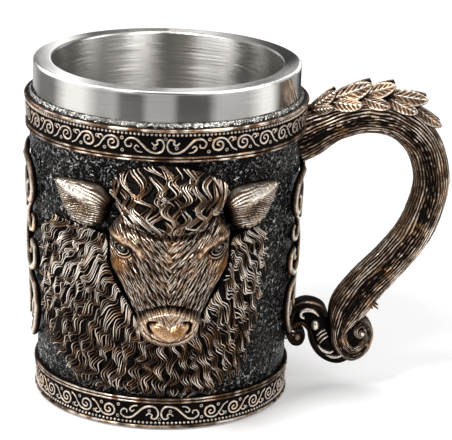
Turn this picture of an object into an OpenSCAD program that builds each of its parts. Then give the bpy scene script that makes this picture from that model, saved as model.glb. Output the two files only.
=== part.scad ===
// Cast tankard with a lift-out steel liner. The resin body carries a bull's head in high relief
// on its front and back, scrolled side panels, two border bands and a leaf-topped handle.
// Millimetres, +Z up, origin on the table under the middle of the body. The front faces -Y and
// the handle points along +X.

/* [Liner] */
// Height of the steel rim above the table
rim_h = 108.6; // [106:0.1:112]
// Outer radius of the steel collar
collar_r = 42; // [41.4:0.1:42.2]
// Inner radius of the drinking mouth
mouth_r = 36.2; // [34.5:0.1:36.4]
// Thickness of the drawn cup's sheet
sheet_t = 0.8; // [0.6:0.1:1]
// Thickness of the seating gasket
gasket_t = 0.8; // [0.5:0.1:1]

/* [Body] */
// Height of the resin lip round the collar
lip_h = 99.2; // [98.6:0.1:100]
// Radius of the bare ground at the foot
foot_r = 39.5; // [39:0.1:40]
// Radius of the bare ground under the upper border
top_r = 43.45; // [43.2:0.05:44]
// Thickness of the resin floor
floor_t = 6; // [4:0.5:7]
// Gap round the collar where it drops into the lip
collar_gap = 0.6; // [0.4:0.1:0.7]

/* [Borders] */
// Height of the upper border's top edge
upper_border_top = 97.9; // [97.5:0.1:98.2]
// Width of each border
border_w = 10.4; // [10:0.1:10.6]
// How far the border mouldings stand out
border_t = 1.1; // [0.9:0.1:1.3]

/* [Bull heads] */
// How far each head is turned from straight ahead, in degrees
head_turn = 2.4; // [0:0.1:4]
// How far the muzzle stands out of the ground
muzzle_out = 16; // [13:0.5:17]
// How far the mane stands out beside the face
mane_out = 3.4; // [2.6:0.1:3.6]

/* [Handle] */
// Half depth of the handle's arm, front to back
arm_half_depth = 6.8; // [6:0.1:7.2]
// Half depth of the lower bracket, front to back
bracket_half_depth = 4.6; // [4:0.1:5]
// Length of one leaf on the handle
leaf_len = 12.5; // [11:0.5:13]
// Radius of the upper handle pin
upper_pin_r = 2; // [1.5:0.1:2.2]
// Radius of the lower handle pin
lower_pin_r = 1.2; // [1:0.1:1.3]

/* [Hidden] */
$fn = 96;
bond = 0.12;
fit_gap = 0.05;
front_az = -90 + head_turn;
back_az = 90 + head_turn;
arc_r = 42;
cup_r = mouth_r + sheet_t;
bore_r = cup_r + 0.5;
cup_floor_z = floor_t + 0.6;
cup_corner_r = 6;
rim_t = 1;
rim_edge_r = 0.8;
collar_t = 1;
rebate_r = collar_r + collar_gap;
ledge_z = lip_h - 2.8;
collar_foot_z = ledge_z + gasket_t;
collar_foot_r = 38.6;
border_field_t = 0.45;
lower_border_top = border_w + 0.4;

// Radius of the plain ground at height z
function ground_r(z) = foot_r + (top_r - foot_r) * z / upper_border_top;

// Point on the wall: s runs along the arc from azimuth az, h stands out of the ground
function on_wall(az, s, z, h) =
    let (a = az + s / arc_r * 180 / PI, r = ground_r(z) + h) [r * cos(a), r * sin(a), z];

function lerp(a, b, t) = a + (b - a) * t;
function bump(dx, dy) = exp(-dx * dx - dy * dy);

// Smooth curve through the rows of a list, read at t from 0 to 1
function curve_row(p0, p1, p2, p3, t) =
    0.5 * (2 * p1 + (p2 - p0) * t + (2 * p0 - 5 * p1 + 4 * p2 - p3) * t * t
        + (3 * p1 - p0 - 3 * p2 + p3) * t * t * t);
function curve_at(rows, t) =
    let (
        last = len(rows) - 1,
        i = min(floor(t * last), last - 1)
    )
    curve_row(rows[max(i - 1, 0)], rows[i], rows[i + 1], rows[min(i + 2, last)], t * last - i);

// Closed solid between a front and a back sheet of points with the same rows and columns
module sheet_solid(front, back) {
    rows = len(front);
    cols = len(front[0]);
    half = rows * cols;
    function at(side, i, j) = side * half + i * cols + j;
    function two(a, b, c, d) = [[a, b, c], [a, c, d]];
    cells = [for (i = [0 : rows - 2], j = [0 : cols - 2]) [i, j]];
    front_faces = [for (c = cells) each two(
        at(0, c[0], c[1]), at(0, c[0] + 1, c[1]), at(0, c[0] + 1, c[1] + 1), at(0, c[0], c[1] + 1))];
    back_faces = [for (c = cells) each two(
        at(1, c[0], c[1]), at(1, c[0], c[1] + 1), at(1, c[0] + 1, c[1] + 1), at(1, c[0] + 1, c[1]))];
    side_faces = [for (i = [0 : rows - 2]) each concat(
        two(at(0, i, 0), at(1, i, 0), at(1, i + 1, 0), at(0, i + 1, 0)),
        two(at(0, i + 1, cols - 1), at(1, i + 1, cols - 1), at(1, i, cols - 1), at(0, i, cols - 1)))];
    end_faces = [for (j = [0 : cols - 2]) each concat(
        two(at(0, 0, j + 1), at(1, 0, j + 1), at(1, 0, j), at(0, 0, j)),
        two(at(0, rows - 1, j), at(1, rows - 1, j), at(1, rows - 1, j + 1), at(0, rows - 1, j + 1)))];
    polyhedron(
        points = concat([for (r = front) each r], [for (r = back) each r]),
        faces = concat(front_faces, back_faces, side_faces, end_faces));
}

// Relief bonded to the wall; shape(u, v) gives [s, z, h] for u across and v up
module relief(az, across, up, shape) {
    grid = [for (j = [0 : up]) [for (i = [0 : across]) shape(i / across, j / up)]];
    sheet_solid(
        [for (row = grid) [for (p = row) on_wall(az, p[0], p[1], p[2])]],
        [for (row = grid) [for (p = row) on_wall(az, p[0], p[1], bond)]]);
}

// Tube in the handle's plane; each row is [x, z, half height, half depth]
module swept_bar(rows, steps, sides) {
    path = [for (k = [0 : steps]) curve_at(rows, k / steps)];
    rings = [for (k = [0 : steps])
        let (
            along = path[min(k + 1, steps)] - path[max(k - 1, 0)],
            size = norm([along[0], along[1]]),
            across = [-along[1], along[0]] / size,
            p = path[k]
        )
        [for (j = [0 : sides - 1])
            let (a = 360 * j / sides, q = p[2] * cos(a))
            [p[0] + q * across[0], p[3] * sin(a), p[1] + q * across[1]]]];
    function at(k, j) = k * sides + j % sides;
    wall_faces = [for (k = [0 : steps - 1], j = [0 : sides - 1]) each [
        [at(k, j), at(k, j + 1), at(k + 1, j + 1)],
        [at(k, j), at(k + 1, j + 1), at(k + 1, j)]]];
    polyhedron(
        points = [for (r = rings) each r],
        faces = concat(
            wall_faces,
            [[for (j = [sides - 1 : -1 : 0]) at(0, j)]],
            [[for (j = [0 : sides - 1]) at(steps, j)]]));
}

// Steel liner

module liner_cup() {
    inner_corner_r = cup_corner_r - sheet_t;
    color("silver") rotate_extrude() difference() {
        union() {
            translate([0, cup_floor_z + cup_corner_r])
                square([cup_r, rim_h - cup_floor_z - cup_corner_r]);
            translate([0, cup_floor_z]) square([cup_r - cup_corner_r, cup_corner_r]);
            intersection() {
                translate([cup_r - cup_corner_r, cup_floor_z + cup_corner_r]) circle(r = cup_corner_r);
                translate([0, cup_floor_z]) square([cup_r, cup_corner_r]);
            }
            translate([0, rim_h - rim_t]) square([collar_r, rim_t]);
        }
        translate([0, cup_floor_z + cup_corner_r]) square([mouth_r, rim_h]);
        translate([0, cup_floor_z + sheet_t]) square([mouth_r - inner_corner_r, cup_corner_r]);
        intersection() {
            translate([mouth_r - inner_corner_r, cup_floor_z + cup_corner_r]) circle(r = inner_corner_r);
            translate([0, cup_floor_z]) square([mouth_r, cup_corner_r + 1]);
        }
        translate([mouth_r, rim_h - rim_edge_r]) rim_rounding(0);
        translate([collar_r, rim_h - rim_edge_r]) mirror([1, 0]) rim_rounding(0);
    }
}

// Corner waste that rounds an upper edge of the rim
module rim_rounding(x) {
    translate([x - 0.01, 0]) difference() {
        square([rim_edge_r, rim_edge_r + 0.01]);
        translate([rim_edge_r, 0]) circle(r = rim_edge_r);
    }
}

module liner_collar() {
    color("silver") rotate_extrude() {
        translate([collar_r - collar_t, collar_foot_z])
            square([collar_t, rim_h - rim_t - collar_foot_z]);
        translate([collar_foot_r, collar_foot_z]) square([collar_r - collar_foot_r, collar_t]);
    }
}

module liner_gasket() {
    color("black") rotate_extrude()
        translate([collar_foot_r, ledge_z]) square([collar_r - collar_foot_r - 0.2, gasket_t]);
}

// Resin body

module body_shell() {
    foot_edge = 0.6;
    color("dimgray") difference() {
        rotate_extrude() polygon([
            [0, 0], [foot_r - foot_edge, 0], [ground_r(foot_edge), foot_edge],
            [top_r, upper_border_top], [rebate_r, lip_h], [rebate_r, ledge_z],
            [bore_r, ledge_z], [bore_r, floor_t], [0, floor_t]]);
        upper_handle_pin_blank(fit_gap);
        lower_handle_pin_blank(fit_gap);
    }
}

// Border ring from z = 0 up: an edge roll, a sunk field for scrolls and a pair of thin lines.
// upright puts the edge roll on top.
module border(z0, upright) {
    roll_w = 1.5;
    line_w = 0.75;
    gap_w = 0.3;
    function wall(z) = ground_r(z0 + z) + fit_gap;
    function up(z) = upright ? z : border_w - z;
    function part(a, b, t) = [[wall(up(a)) + t, up(a)], [wall(up(b)) + t, up(b)]];
    outer = [
        each part(0, line_w, border_t),
        each part(line_w, line_w + gap_w, border_field_t),
        each part(line_w + gap_w, 2 * line_w + gap_w, border_t),
        each part(2 * line_w + gap_w, border_w - roll_w, border_field_t),
        each part(border_w - roll_w, border_w, border_t)];
    translate([0, 0, z0]) rotate_extrude()
        polygon(concat([[wall(up(0)), up(0)]], outer, [[wall(up(border_w)), up(border_w)]]));
}

module upper_border() {
    color("peru") border(upper_border_top - border_w, true);
}

module lower_border() {
    color("peru") border(lower_border_top - border_w, false);
}

// Bull's head

// Face rows from chin to brow: [z, half width, height of the nose line]
face_rows = [
    [31.6, 4.2, 0.55], [34, 7.4, 0.84], [38.5, 8.6, 1], [43, 8.6, 0.94], [47.5, 12, 0.8],
    [54, 16.2, 0.7], [61, 17.4, 0.65], [66, 17.2, 0.62], [69.4, 14.6, 0.58]];
eye_s = 12.3;
eye_z = 61.6;
face_edge = 2.6;

function face_shape(u, v) =
    let (
        row = curve_at(face_rows, v),
        z = row[0],
        side = 2 * u - 1,
        s = row[1] * side,
        crown = pow(max(0, 1 - pow(abs(side), 2.4)), 0.55),
        brow = 1.3 * bump((abs(s) - 12.6) / 3.6, (z - 66.2) / 2),
        socket = -1.6 * bump((abs(s) - 10.6) / 3.4, (z - 60.4) / 3),
        eyeball = 1.5 * bump((abs(s) - eye_s) / 2.4, (z - eye_z) / 1.7),
        groove = -1.1 * bump(s / 9, (z - 44.6) / 1.1),
        nose = 1 * bump(s / 5, (z - 39) / 2.8)
    )
    [s, z, lerp(face_edge, muzzle_out * row[2], crown) + brow + socket + eyeball + groove + nose];

module face(az) {
    color("peru") relief(az, 22, 26, function(u, v) face_shape(u, v));
}

// Forelock rows from its hanging edge to the crown: [z, half width, height]
forelock_rows = [
    [69.7, 13.8, 10.6], [73, 14.6, 10.2], [77, 15.4, 8.4], [80.5, 16.4, 6.2], [83.5, 13, 4], [86.4, 7, 1.6]];

// The fringe hangs lowest in the middle; its ends sit this much higher
fringe_rise = 2.6;

function forelock_shape(u, v) =
    let (
        row = curve_at(forelock_rows, v),
        side = 2 * u - 1,
        z = row[0] + fringe_rise * side * side * (1 - v) * (1 - v),
        crown = pow(max(0, 1 - pow(abs(side), 2.6)), 0.5),
        curls = 0.5 * sin(360 * 4 * side + 60) * sin(360 * 2.5 * v) * crown
    )
    [row[1] * side, z, lerp(1.6, row[2], crown) + curls];

module forelock(az) {
    color("saddlebrown") relief(az, 22, 14, function(u, v) forelock_shape(u, v));
}

// Ear rows from root to tip: [distance along, lower edge, upper edge, height]
ear_rows = [
    [0.8, -4.2, 3.4, 5], [5, -7.6, 5.6, 5.6], [10.5, -7, 4.6, 4.8], [15.5, -4.2, 3, 3.4], [20.4, -0.5, 0.5, 1.6]];
ear_root_z = 71.8;
ear_lift = 15;

// The head is turned a little, so the left ear stands further out than the right
function ear_root_s(mirror_s) = mirror_s < 0 ? 18.2 : 16.6;

function ear_shape(mirror_s, u, v) =
    let (
        row = curve_at(ear_rows, v),
        off = lerp(row[1], row[2], mirror_s > 0 ? 1 - u : u),
        dip = 1.5 * bump((off + 1.2) / 2.6, (row[0] - 8) / 6),
        s = ear_root_s(mirror_s) + row[0] * cos(ear_lift) - off * sin(ear_lift),
        z = ear_root_z + row[0] * sin(ear_lift) + off * cos(ear_lift)
    )
    [mirror_s * s, z, row[3] - dip];

module ear(az, mirror_s) {
    color("peru") relief(az, 8, 10, function(u, v) ear_shape(mirror_s, u, v));
}

// Mane rows from the far ear round the chin to the near ear: [root s, root z, tip s, tip z]
mane_rows = [
    [-40, 65.2, -45.6, 57.6], [-32, 64.8, -47, 49], [-24.4, 64.4, -47.4, 40], [-18.4, 63, -46.2, 30.6],
    [-18, 55.6, -43, 22], [-15.2, 48.4, -37, 16.4], [-11.4, 42, -28.6, 13.2], [-8.6, 36.2, -19, 12.2],
    [-5.2, 31.2, -9.6, 11.8], [0, 30.2, 0, 11.6], [5.2, 31.2, 8.8, 11.8], [8.6, 36.2, 16.4, 12.6],
    [11.4, 42, 23, 16], [15.2, 48.4, 27.4, 23.6], [18, 55.6, 29.4, 33], [18.4, 63, 31.2, 43],
    [23.4, 64.4, 32.4, 52], [29.6, 64.6, 32.2, 59.6]];
mane_edge = 1.1;
mane_locks = 25;
lock_h = 0.5;

// Locks run from root to tip and sway; each one reaches past the gaps beside it
function mane_shape(u, v) =
    let (
        row = curve_at(mane_rows, v),
        turn = 360 * (mane_locks * v + 0.2 * sin(360 * (1.2 * u + 6 * v))),
        reach = u * (0.96 + 0.04 * cos(turn)),
        place = lerp([row[0], row[1]], [row[2], row[3]], reach),
        lock = lock_h * cos(turn) * min(1, 4 * u)
    )
    [place[0], place[1], lerp(mane_out - lock_h, mane_edge, u * u) + lock];

module mane(az) {
    color("saddlebrown") relief(az, 6, 5 * mane_locks, function(u, v) mane_shape(1 - u, v));
}

// Side panels of scrollwork

panel_half_w = 16;
panel_lobes = 3;

function panel_shape(z0, z1, u, v) =
    let (
        side = 2 * u - 1,
        lobe = pow(abs(sin(180 * panel_lobes * v)), 0.8),
        half_w = 2.5 + (panel_half_w - 2.5) * (0.45 + 0.55 * lobe) * pow(sin(180 * lerp(0.04, 0.96, v)), 0.5),
        rim = bump((abs(side) - 0.72) / 0.2, 0),
        stem = bump(side / 0.22, 0)
    )
    [half_w * side, lerp(z0, z1, v), 0.9 + 1.5 * rim + 1.2 * stem * lobe];

module panel_relief(az, z0, z1) {
    relief(az, 12, 26, function(u, v) panel_shape(z0, z1, u, v));
}

module far_side_panel() {
    color("peru") panel_relief(180, 17.8, 79);
}

// The panel under the handle leaves a notch for the bracket
module handle_side_panel() {
    notch_half_w = bracket_half_depth + 0.4;
    notch_top = arch_centre[1] + arch_r + 0.4;
    color("peru") difference() {
        panel_relief(0, 20.5, 74.5);
        translate([bore_r, -notch_half_w, 0]) cube([20, 2 * notch_half_w, notch_top]);
    }
}

// Handle

// Arm from its root in the wall to the start of the lower volute: [x, z, half height, half depth]
arm_rows = [
    [39, 83.2, 8.6, 7.4], [45.5, 85.6, 7.6, 7.2], [53, 89.4, 6.2, 1], [63.5, 92, 6, 1], [74, 90, 5.9, 1],
    [81.6, 82.6, 5.9, 1], [84.7, 72, 5.9, 1], [83.2, 62, 6, 1], [79.6, 53, 6.1, 1], [73.2, 44.2, 6.1, 1],
    [65.8, 35.8, 6.4, 1], [60.2, 27.4, 6.2, 1], [57.6, 19.8, 3.2, 0.95], [58.8, 14.4, 3, 0.85],
    [61.8, 11.2, 2.9, 0.8], [65.4, 13.2, 2.4, 0.75], [66.9, 18, 2.1, 0.7], [64.6, 22.6, 1.8, 0.65]];
volute_eye = [64.2, 18.4];
volute_web_r = 4.4;

module arm_bar() {
    rows = [for (r = arm_rows) [r[0], r[1], r[2], r[3] > 1 ? r[3] : r[3] * arm_half_depth]];
    swept_bar(rows, 56, 14);
}

// Everything of the wall that the handle is cut to fit, a bond line proud of the ground
module wall_blank() {
    rotate_extrude() polygon([
        [0, 0], [foot_r + bond, 0], [top_r + bond, upper_border_top], [top_r + bond, rim_h], [0, rim_h]]);
}

// Plain ring that clears the upper border where the handle butts against it
module border_blank() {
    z0 = upper_border_top - border_w;
    rotate_extrude() polygon([
        [bore_r, z0 - bond], [ground_r(z0) + border_t + bond, z0 - bond],
        [ground_r(z0 + border_w) + border_t + bond, z0 + border_w], [bore_r, z0 + border_w]]);
}

module upper_handle_pin_blank(gap) {
    translate([38.6 - gap, 0, 84.6]) rotate([0, 90, 0]) cylinder(r = upper_pin_r + gap, h = 11.4 + 2 * gap);
}

module lower_handle_pin_blank(gap) {
    translate([38.2 - gap, 0, 17]) rotate([0, 90, 0]) cylinder(r = lower_pin_r + gap, h = 6.2 + 2 * gap);
}

module handle_arm() {
    eye_r = 1.5;
    color("sienna") difference() {
        union() {
            arm_bar();
            translate([volute_eye[0], 0, volute_eye[1]]) rotate([90, 0, 0]) {
                cylinder(r = volute_web_r, h = 7, center = true);
                cylinder(r = eye_r, h = 10, center = true);
            }
        }
        wall_blank();
        border_blank();
        upper_handle_pin_blank(fit_gap);
    }
}

// Leaves in pairs along the top of the arm: place along the arm's rows from 0 to 1
leaf_first = 0.08;
leaf_last = 0.23;
leaf_pairs = 5;
leaf_splay = 20;
leaf_lift = 9;

// One leaf lying along +X, root at the origin, ribbed down its middle
module leaf_blank() {
    hull() {
        translate([0, 0, -2.2]) cylinder(r = 0.8, h = 2.6, $fn = 12);
        translate([leaf_len * 0.45, 0, -3]) scale([1.5, 1, 1]) cylinder(r = 3, h = 3.6, $fn = 20);
        translate([leaf_len - 0.5, 0, -2.4]) cylinder(r = 0.6, h = 2.8, $fn = 12);
    }
}

module leaf_on_arm(t, side) {
    here = curve_at(arm_rows, t);
    ahead = curve_at(arm_rows, t + 0.01) - here;
    pitch = atan2(ahead[1], ahead[0]);
    translate([here[0], 0, here[1]]) rotate([0, -pitch, 0]) rotate([side * 22, 0, 0])
        translate([0, 0, here[2] + 0.5]) rotate([0, -leaf_lift, -side * leaf_splay]) leaf_blank();
}

module handle_leaves() {
    color("burlywood") difference() {
        union() {
            for (k = [0 : leaf_pairs - 1], side = [-1, 1])
                leaf_on_arm(lerp(leaf_first, leaf_last, (k + 0.25 * side) / (leaf_pairs - 1)), side);
        }
        arm_bar();
        wall_blank();
        border_blank();
    }
}

// Bracket in the handle's plane: an arch and a small volute by the wall, a leaf curling under the arm
arch_centre = [47.2, 23.3];
arch_r = 5.9;
small_volute = [43.7, 17];
small_volute_r = 2.9;
leaf_curl_centre = [59.5, 19.8];
leaf_curl_r = 12.1;
leaf_curl_end = 57.6;
bracket_bead = [49.8, 20.8];

module bracket_outline() {
    translate(arch_centre) circle(r = arch_r);
    translate(small_volute) circle(r = small_volute_r);
    intersection() {
        translate(leaf_curl_centre) circle(r = leaf_curl_r);
        translate([collar_r, 0]) square([leaf_curl_end - collar_r, arch_centre[1]]);
    }
}

module handle_bracket() {
    color("sienna") difference() {
        union() {
            rotate([90, 0, 0]) linear_extrude(height = 2 * bracket_half_depth, center = true)
                bracket_outline();
            for (side = [-1, 1])
                translate([bracket_bead[0], side * bracket_half_depth, bracket_bead[1]])
                    sphere(r = 1.3);
        }
        arm_bar();
        wall_blank();
        lower_handle_pin_blank(fit_gap);
    }
}

module upper_handle_pin() {
    color("silver") upper_handle_pin_blank(0);
}

module lower_handle_pin() {
    color("silver") lower_handle_pin_blank(0);
}

liner_cup();
liner_collar();
liner_gasket();
body_shell();
upper_border();
lower_border();
face(front_az);  // front_face
forelock(front_az);  // front_forelock
ear(front_az, -1);  // front_left_ear
ear(front_az, 1);  // front_right_ear
mane(front_az);  // front_mane
face(back_az);  // back_face
forelock(back_az);  // back_forelock
ear(back_az, -1);  // back_left_ear
ear(back_az, 1);  // back_right_ear
mane(back_az);  // back_mane
far_side_panel();
handle_side_panel();
handle_arm();
handle_leaves();
handle_bracket();
upper_handle_pin();
lower_handle_pin();
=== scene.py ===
# %% [markdown]
# # A cast tankard with a steel liner
# The real object is a thick resin casting, stained almost black and rubbed with bronze on everything
# that stands up, with a plain brushed steel cup dropped into it. The imported solids give its sizes.
# This lesson dresses them: every relief is real geometry, and the colour mostly follows the relief,
# with painted shade and highlights in a few places.

# %% Load the imported solids
import itertools
import math

import bmesh
import bpy
import numpy as np
from mathutils import Matrix, Vector


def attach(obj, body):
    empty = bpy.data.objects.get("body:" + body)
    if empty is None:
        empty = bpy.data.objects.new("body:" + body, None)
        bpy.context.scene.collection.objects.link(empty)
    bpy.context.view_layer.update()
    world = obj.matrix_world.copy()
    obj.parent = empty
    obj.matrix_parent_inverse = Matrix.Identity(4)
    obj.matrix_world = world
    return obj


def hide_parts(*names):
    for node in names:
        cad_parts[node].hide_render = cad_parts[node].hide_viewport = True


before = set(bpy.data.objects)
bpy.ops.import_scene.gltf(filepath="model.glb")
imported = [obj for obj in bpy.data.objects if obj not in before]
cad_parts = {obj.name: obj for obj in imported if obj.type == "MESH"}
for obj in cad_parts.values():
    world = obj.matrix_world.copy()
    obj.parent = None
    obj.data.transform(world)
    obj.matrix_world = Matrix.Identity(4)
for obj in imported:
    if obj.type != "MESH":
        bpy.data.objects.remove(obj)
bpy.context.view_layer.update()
MM = 0.001
# Radius in mm at which lengths round the wall are counted
ARC_R = 42.0

# %% [markdown]
# ## Small tools
# Every shader and every Geometry Nodes tree below is written as code, so one short function adds a node
# with its settings and links. A node given as an input stands for its first output. Another sets the
# stops of a colour ramp, and the last one turns a written colour into the linear light that shaders use.
# Lengths are written in millimetres and become metres only in the mesh.


# %% Tools for nodes and colours
def add(tree, kind, inputs=None, **settings):
    node = tree.nodes.new(kind)
    for key, value in settings.items():
        setattr(node, key, value)
    for key, value in (inputs or {}).items():
        if isinstance(value, bpy.types.Node):
            value = value.outputs[0]
        if isinstance(value, bpy.types.NodeSocket):
            tree.links.new(value, node.inputs[key])
        else:
            node.inputs[key].default_value = value
    return node


def set_stops(ramp, stops):
    elements = ramp.color_ramp.elements
    for k, (position, shade) in enumerate(stops):
        stop = elements[0] if k == 0 else elements[-1] if k == len(stops) - 1 else elements.new(position)
        stop.position = position
        stop.color = shade


def colour(code):
    parts = [int(code[i:i + 2], 16) / 255 for i in (1, 3, 5)]
    return (*[c / 12.92 if c <= 0.04045 else ((c + 0.055) / 1.055) ** 2.4 for c in parts], 1.0)


print("white is", colour("#ffffff"), "and mid grey is", np.round(colour("#808080"), 3))

# %% [markdown]
# ## Materials
# The casting is one resin, seen as a dark hammered ground and as rubbed bronze. The difference is how
# far a spot stands out, which each mesh carries as an attribute called crest. In a few places crest
# also carries painted light: painted shade at the roots of the hair strands, in the hollows of the ears
# and at the bases of the leaves, painted highlights along the hair, and painted glints on the handle.
# Two more attributes mark the face: eye picks out the dark eyes and a painted catchlight in each, and
# warm the spots that are rubbed to a warmer bronze. The steel is brushed round its axis, coarser inside
# the cup than on the collar, and the gasket is black rubber.


# %% Rubbed bronze over dark patina
def new_material(name):
    material = bpy.data.materials.new(name)
    material.use_nodes = True
    material.node_tree.nodes.clear()
    return material, material.node_tree


def close_material(material, inputs):
    shader = add(material.node_tree, "ShaderNodeBsdfPrincipled", inputs)
    add(material.node_tree, "ShaderNodeOutputMaterial", {"Surface": shader})
    print("made", material.name)


# Cold-cast resin with bronze powder: stained black, then dry-brushed, so metal sits on the crests only
# and the hollows stay dark and dull. The crests shine, the hollows drink the light.
PATINA, BRONZE_MID, BRONZE_LIGHT = "#070403", "#67503d", "#e8dfd4"
WARM_MID, WARM_LIGHT = "#8a5a2b", "#e2bb8c"
# The last eye colour is a painted highlight, a pale catchlight.
EYE_DARK, EYE_GREY, EYE_BLACK, EYE_PAINTED_GLINT = "#0c0a09", "#57524b", "#030303", "#e4ded4"
RUB_PATCH_MM, GRAIN_MM, HOLLOW_MM, GRAIN_DEEP_MM = 5.0, 0.4, 1.6, 0.14
EYE_FROM, EYE_WET = 0.15, 0.12

bronze, tree = new_material("rubbed_bronze_resin")
crest, eye, warm = (add(tree, "ShaderNodeAttribute", attribute_name=name).outputs["Fac"]
                    for name in ("crest", "eye", "warm"))
place = add(tree, "ShaderNodeTexCoord").outputs["Object"]
patch = add(tree, "ShaderNodeTexNoise", {"Vector": place, "Scale": 1 / (RUB_PATCH_MM * MM), "Detail": 3.0})
grain = add(tree, "ShaderNodeTexNoise", {"Vector": place, "Scale": 1 / (GRAIN_MM * MM), "Detail": 2.0})
uneven = add(tree, "ShaderNodeMath", {0: patch, 1: grain}, operation="ADD")
shift = add(tree, "ShaderNodeMath", {0: uneven, 1: 0.6, 2: -0.6}, operation="MULTIPLY_ADD")
rubbed = add(tree, "ShaderNodeMath", {0: crest, 1: shift}, operation="ADD", use_clamp=True)
hollow = add(tree, "ShaderNodeAmbientOcclusion", {"Distance": HOLLOW_MM * MM}, samples=4)
open_air = add(tree, "ShaderNodeMapRange",
               {"Value": hollow.outputs["AO"], "From Min": 0.1, "From Max": 0.45, "To Min": 0.3})
laid_on = add(tree, "ShaderNodeMath", {0: rubbed, 1: open_air}, operation="MULTIPLY")
tint = add(tree, "ShaderNodeValToRGB", {"Fac": laid_on})
set_stops(tint, [(0.14, colour(PATINA)), (0.5, colour(BRONZE_MID)), (0.9, colour(BRONZE_LIGHT))])
warm_tint = add(tree, "ShaderNodeValToRGB", {"Fac": laid_on})
set_stops(warm_tint, [(0.14, colour(PATINA)), (0.5, colour(WARM_MID)), (0.9, colour(WARM_LIGHT))])
stain = add(tree, "ShaderNodeMapRange", {"Value": patch, "From Min": 0.5, "From Max": 0.72, "To Max": 0.6})
warmth = add(tree, "ShaderNodeMath", {0: warm, 1: stain}, operation="MAXIMUM")
coat = add(tree, "ShaderNodeMix", {"Factor": warmth, 6: tint, 7: warm_tint}, data_type="RGBA").outputs[2]
iris = add(tree, "ShaderNodeValToRGB", {"Fac": eye})
set_stops(iris, [(0.34, colour(EYE_DARK)), (0.5, colour(EYE_GREY)), (0.75, colour(EYE_BLACK)),
                 (0.97, colour(EYE_PAINTED_GLINT))])
is_eye = add(tree, "ShaderNodeMath", {0: eye, 1: EYE_FROM}, operation="GREATER_THAN")
not_eye = add(tree, "ShaderNodeMath", {0: 1.0, 1: is_eye}, operation="SUBTRACT")
skin = add(tree, "ShaderNodeMix", {"Factor": is_eye, 6: coat, 7: iris}, data_type="RGBA").outputs[2]
shine = add(tree, "ShaderNodeMapRange", {"Value": laid_on, "To Min": 0.5, "To Max": 0.26})
wet = add(tree, "ShaderNodeMix", {"Factor": is_eye, 2: shine, 3: EYE_WET})
metal = add(tree, "ShaderNodeMapRange", {"Value": laid_on, "From Min": 0.2, "From Max": 0.6, "To Max": 0.95})
metal_skin = add(tree, "ShaderNodeMath", {0: metal, 1: not_eye}, operation="MULTIPLY")
grain_bump = add(tree, "ShaderNodeBump", {"Height": grain, "Strength": 0.2, "Distance": GRAIN_DEEP_MM * MM})
close_material(bronze, {"Base Color": skin, "Roughness": wet, "Metallic": metal_skin,
                        "Specular IOR Level": 0.05, "Normal": grain_bump})

# %% Hammered dark ground
# The same resin with the bronze wiped off: blue-black, hammered, with small cold glints on the peaks.
# A crest of 1.4 or more marks the bare lip of the casting, which is worn all over.
GROUND_DARK, GROUND_PEAK, GROUND_BROWN = "#070708", "#c9c6c1", "#3b2c20"
PIT_MM, STAIN_MM, PIT_DEEP_MM = 1.0, 9.0, 0.9

ground, tree = new_material("dark_hammered_resin")
crest = add(tree, "ShaderNodeAttribute", attribute_name="crest").outputs["Fac"]
place = add(tree, "ShaderNodeTexCoord").outputs["Object"]
pits = add(tree, "ShaderNodeTexNoise",
           {"Vector": place, "Scale": 1 / (PIT_MM * MM), "Detail": 2.5, "Distortion": 1.2})
stain = add(tree, "ShaderNodeTexNoise", {"Vector": place, "Scale": 1 / (STAIN_MM * MM), "Detail": 3.0})
ridge = add(tree, "ShaderNodeMapRange", {"Value": pits, "From Min": 0.48, "From Max": 0.63})
high = add(tree, "ShaderNodeMapRange", {"Value": crest, "From Max": 0.8, "To Min": 0.35})
bare = add(tree, "ShaderNodeMapRange", {"Value": crest, "From Min": 1.4, "From Max": 2.4, "To Max": 0.55})
worn = add(tree, "ShaderNodeMath", {0: ridge, 1: high, 2: bare}, operation="MULTIPLY_ADD", use_clamp=True)
tint = add(tree, "ShaderNodeValToRGB", {"Fac": worn})
set_stops(tint, [(0.2, colour(GROUND_DARK)), (0.95, colour(GROUND_PEAK))])
browned = add(tree, "ShaderNodeMapRange", {"Value": stain, "From Min": 0.52, "From Max": 0.75, "To Max": 0.3})
skin = add(tree, "ShaderNodeMix", {"Factor": browned, 6: tint, 7: colour(GROUND_BROWN)},
           data_type="RGBA").outputs[2]
metal = add(tree, "ShaderNodeMapRange", {"Value": worn, "From Min": 0.1, "From Max": 0.6, "To Max": 0.95})
pit_bump = add(tree, "ShaderNodeBump", {"Height": pits, "Strength": 1.0, "Distance": PIT_DEEP_MM * MM})
close_material(ground, {"Base Color": skin, "Roughness": 0.26, "Metallic": metal, "Specular IOR Level": 0.05,
                        "Normal": pit_bump})

# %% Brushed stainless steel and black rubber
# Stainless steel turned against an abrasive belt: grooves run round the axis, so reflections smear up
# and down into upright bands. Real grooves are about 0.05 mm; they are drawn at 0.4 mm to show.
# The collar is brushed finer than the inside of the cup.
STEEL, STEEL_GREY = "#d2d0cd", "#b4b1ad"
GROOVE_MM, GROOVE_LONG_MM = 0.4, 24.0


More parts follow.
